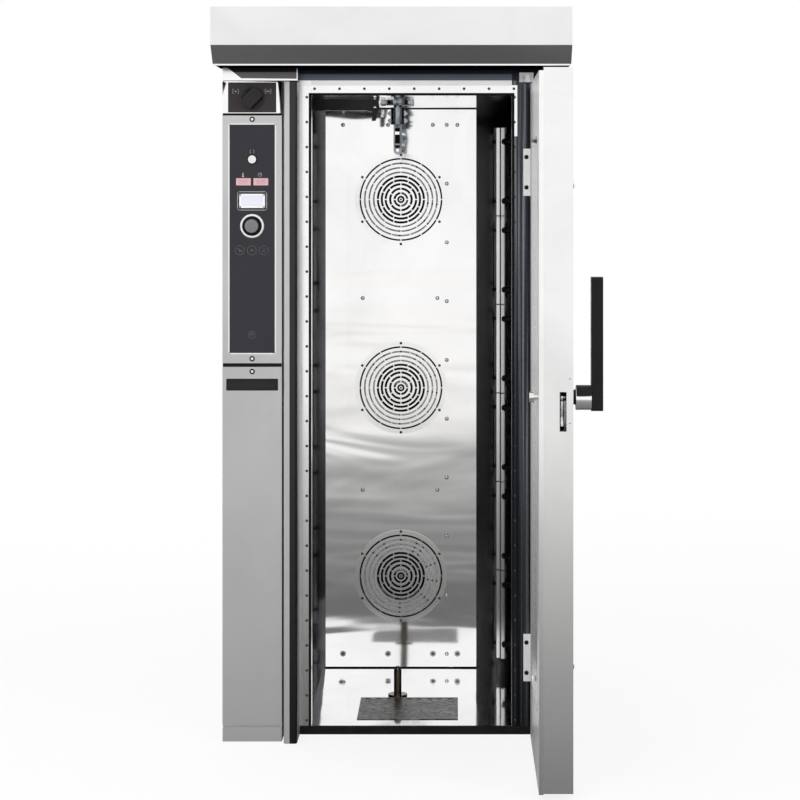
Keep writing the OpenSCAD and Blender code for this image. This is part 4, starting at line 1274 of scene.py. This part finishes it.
class RACKOVEN_OT_lever(bpy.types.Operator):
    """Finish the lever and its bright hub, and round their edges"""

    bl_idname = "rack_oven.lever"
    bl_label = "Lever"

    def execute(self, context):
        lever = folded("lever_handle", "lever_skin", 2.2 * MM, "lever_coating", "handle", 3)

        def on_hub(centre):
            away = math.hypot(centre.y - HUB.y, centre.z - HUB.z)
            return 9.2 * MM < centre.x - HUB.x < 49.8 * MM and away < 30.5 * MM

        second_finish(lever, "bright_trim", on_hub)
        second_finish(lever, "plated_metal", lambda centre: centre.x < HUB.x - 2 * MM)
        return {"FINISHED"}


class RACKOVEN_OT_release_knob(bpy.types.Operator):
    """Finish the release knob inside the door, with its black ring"""

    bl_idname = "rack_oven.release_knob"
    bl_label = "Release knob"

    def execute(self, context):
        knob = folded(
            "release_knob", "release_knob_skin", 1.2 * MM, "plated_metal", "release"
        )
        low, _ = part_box("release_knob")
        second_finish(knob, "black_plastic", lambda centre: low.x + 7 * MM < centre.x < low.x + 11.9 * MM)
        return {"FINISHED"}


class RACKOVEN_OT_stage(bpy.types.Operator):
    """Set the floor, the light and the camera"""

    bl_idname = "rack_oven.stage"
    bl_label = "Stage"

    def execute(self, context):
        make_floor(context.scene.oven_stage.far_floor)
        make_world()
        make_lamps()
        make_camera(context.scene)
        return {"FINISHED"}


# ---------- stage ----------
def seen_directly(tree):
    """1 for what the camera, a reflection or glass sees and 0 for bounced light, and the camera's share."""
    rays = tree.nodes.new("ShaderNodeLightPath").outputs
    seen = combined(tree, "MAXIMUM", rays["Is Camera Ray"], rays["Is Glossy Ray"])
    return combined(tree, "MAXIMUM", seen, rays["Is Transmission Ray"]), rays["Is Camera Ray"]


def make_floor(far):
    """A pale floor, darker close to the oven where metal reflects it."""
    bm = bmesh.new()
    bmesh.ops.create_grid(bm, x_segments=8, y_segments=8, size=40)
    floor = new_object("studio_floor", bm)
    mat = bpy.data.materials.new("studio_floor")
    mat.use_nodes = True
    tree = mat.node_tree
    tree.nodes.clear()
    seen, camera = seen_directly(tree)
    place = object_place(tree)
    away = add_node(tree, "ShaderNodeVectorMath", {0: place}, operation="LENGTH").outputs["Value"]
    levels = ((0.0, 0.10), (0.36, 0.50), (0.52, 0.88), (1.0, 1.0))
    shades = [(at, (level, level * 0.99, level * 0.98)) for at, level in levels]
    mirrored = colour_ramp(tree, ranged(tree, away, 0, far), shades)
    white = tinted(tree, mirrored, camera, (1, 1, 1))
    glow = add_node(tree, "ShaderNodeEmission", {"Color": white, "Strength": 1.0}).outputs[0]
    matt = add_node(tree, "ShaderNodeBsdfDiffuse", {"Color": (0.86, 0.86, 0.86, 1)}).outputs[0]
    # the shadow stays near the oven and runs out into plain white
    shaded = combined(tree, "MULTIPLY", camera, ranged(tree, away, 1.5, 5.0, 0.16, 0.0))
    share = combined(tree, "SUBTRACT", seen, shaded)
    both = add_node(tree, "ShaderNodeMixShader", {0: share, 1: matt, 2: glow}).outputs[0]
    add_node(tree, "ShaderNodeOutputMaterial", {"Surface": both})
    floor.data.materials.append(mat)


def make_world():
    """White where it is seen, and a plain even light elsewhere."""
    world = bpy.data.worlds.new("studio")
    bpy.context.scene.world = world
    world.use_nodes = True
    tree = world.node_tree
    back = tree.nodes["Background"].inputs
    back["Color"].default_value = (1, 1, 1, 1)
    tree.links.new(ranged(tree, seen_directly(tree)[0], 0, 1, 0.62, 1.0), back["Strength"])


def make_lamps():
    """Soft boxes in front, above and to the sides."""
    lamps = (
        ("front_box", (-2.2, -6.5, 3.6), (0, 0, 1.2), 3.0, 150),
        ("side_box", (3.6, -4.6, 2.4), (0.2, -0.5, 1.0), 2.4, 70),
        ("top_box", (0, -1.2, 4.6), (0, 0, 1.0), 3.0, 60),
        ("rear_box", (-1.5, 5.0, 3.2), (0, 0.5, 1.2), 2.6, 70),
    )
    for name, at, aim, size, power in lamps:
        data = bpy.data.lights.new(name, "AREA")
        data.size, data.energy = size, power
        lamp = bpy.data.objects.new(name, data)
        lamp.location = at
        lamp.rotation_euler = (Vector(aim) - Vector(at)).to_track_quat("-Z", "Y").to_euler()
        lamp.visible_glossy = False
        bpy.context.scene.collection.objects.link(lamp)


def make_camera(scene):
    """The photograph's view: level, from the front and slightly to the right."""
    data = bpy.data.cameras.new("camera")
    data.lens = scene.oven_stage.lens
    data.sensor_width = 36
    data.shift_x, data.shift_y = -0.06875, -0.235
    camera = bpy.data.objects.new("camera", data)
    camera.location = scene.oven_stage.eye
    camera.rotation_euler = (math.radians(90), 0, 0)
    scene.collection.objects.link(camera)
    scene.camera = camera
    scene.view_settings.view_transform = "Standard"


class RACKOVEN_PT_panel(bpy.types.Panel):
    """Lists the oven's settings and pieces"""

    bl_label = "Rack Oven"
    bl_idname = "RACKOVEN_PT_panel"
    bl_space_type = "VIEW_3D"
    bl_region_type = "UI"
    bl_category = "Rack Oven"

    def draw(self, context):
        for settings in SETTINGS:
            group = getattr(context.scene, settings)
            for name in group.bl_rna.properties.keys():
                if name not in ("rna_type", "name"):
                    self.layout.prop(group, name)
        for operator in PIECES:
            self.layout.operator(operator.bl_idname)


SETTINGS = {"oven_finish": OvenFinish, "oven_sizes": OvenSizes, "oven_stage": StageSettings}
PIECES = (
    RACKOVEN_OT_finishes,
    RACKOVEN_OT_folded_panels,
    RACKOVEN_OT_canopy_trim,
    RACKOVEN_OT_switch_panel,
    RACKOVEN_OT_display,
    RACKOVEN_OT_panel_signs,
    RACKOVEN_OT_control_knob,
    RACKOVEN_OT_panel_screws,
    RACKOVEN_OT_doorway_screws,
    RACKOVEN_OT_wall_fixings,
    RACKOVEN_OT_panel_rows,
    RACKOVEN_OT_hook_window_shade,
    RACKOVEN_OT_duct_screws,
    RACKOVEN_OT_cavity_panels,
    RACKOVEN_OT_door_skin,
    RACKOVEN_OT_door_fixings,
    RACKOVEN_OT_lever,
    RACKOVEN_OT_release_knob,
    RACKOVEN_OT_stage,
)


def register():
    for cls in (*SETTINGS.values(), *PIECES, RACKOVEN_PT_panel):
        bpy.utils.register_class(cls)
    for name, cls in SETTINGS.items():
        setattr(bpy.types.Scene, name, bpy.props.PointerProperty(type=cls))


def unregister():
    for name in SETTINGS:
        delattr(bpy.types.Scene, name)
    for cls in reversed((*SETTINGS.values(), *PIECES, RACKOVEN_PT_panel)):
        bpy.utils.unregister_class(cls)


def main():
    """Makes every piece in order."""
    register()
    for operator in PIECES:
        getattr(bpy.ops.rack_oven, operator.bl_idname.split(".")[1])()


if __name__ == "__main__":
    main()
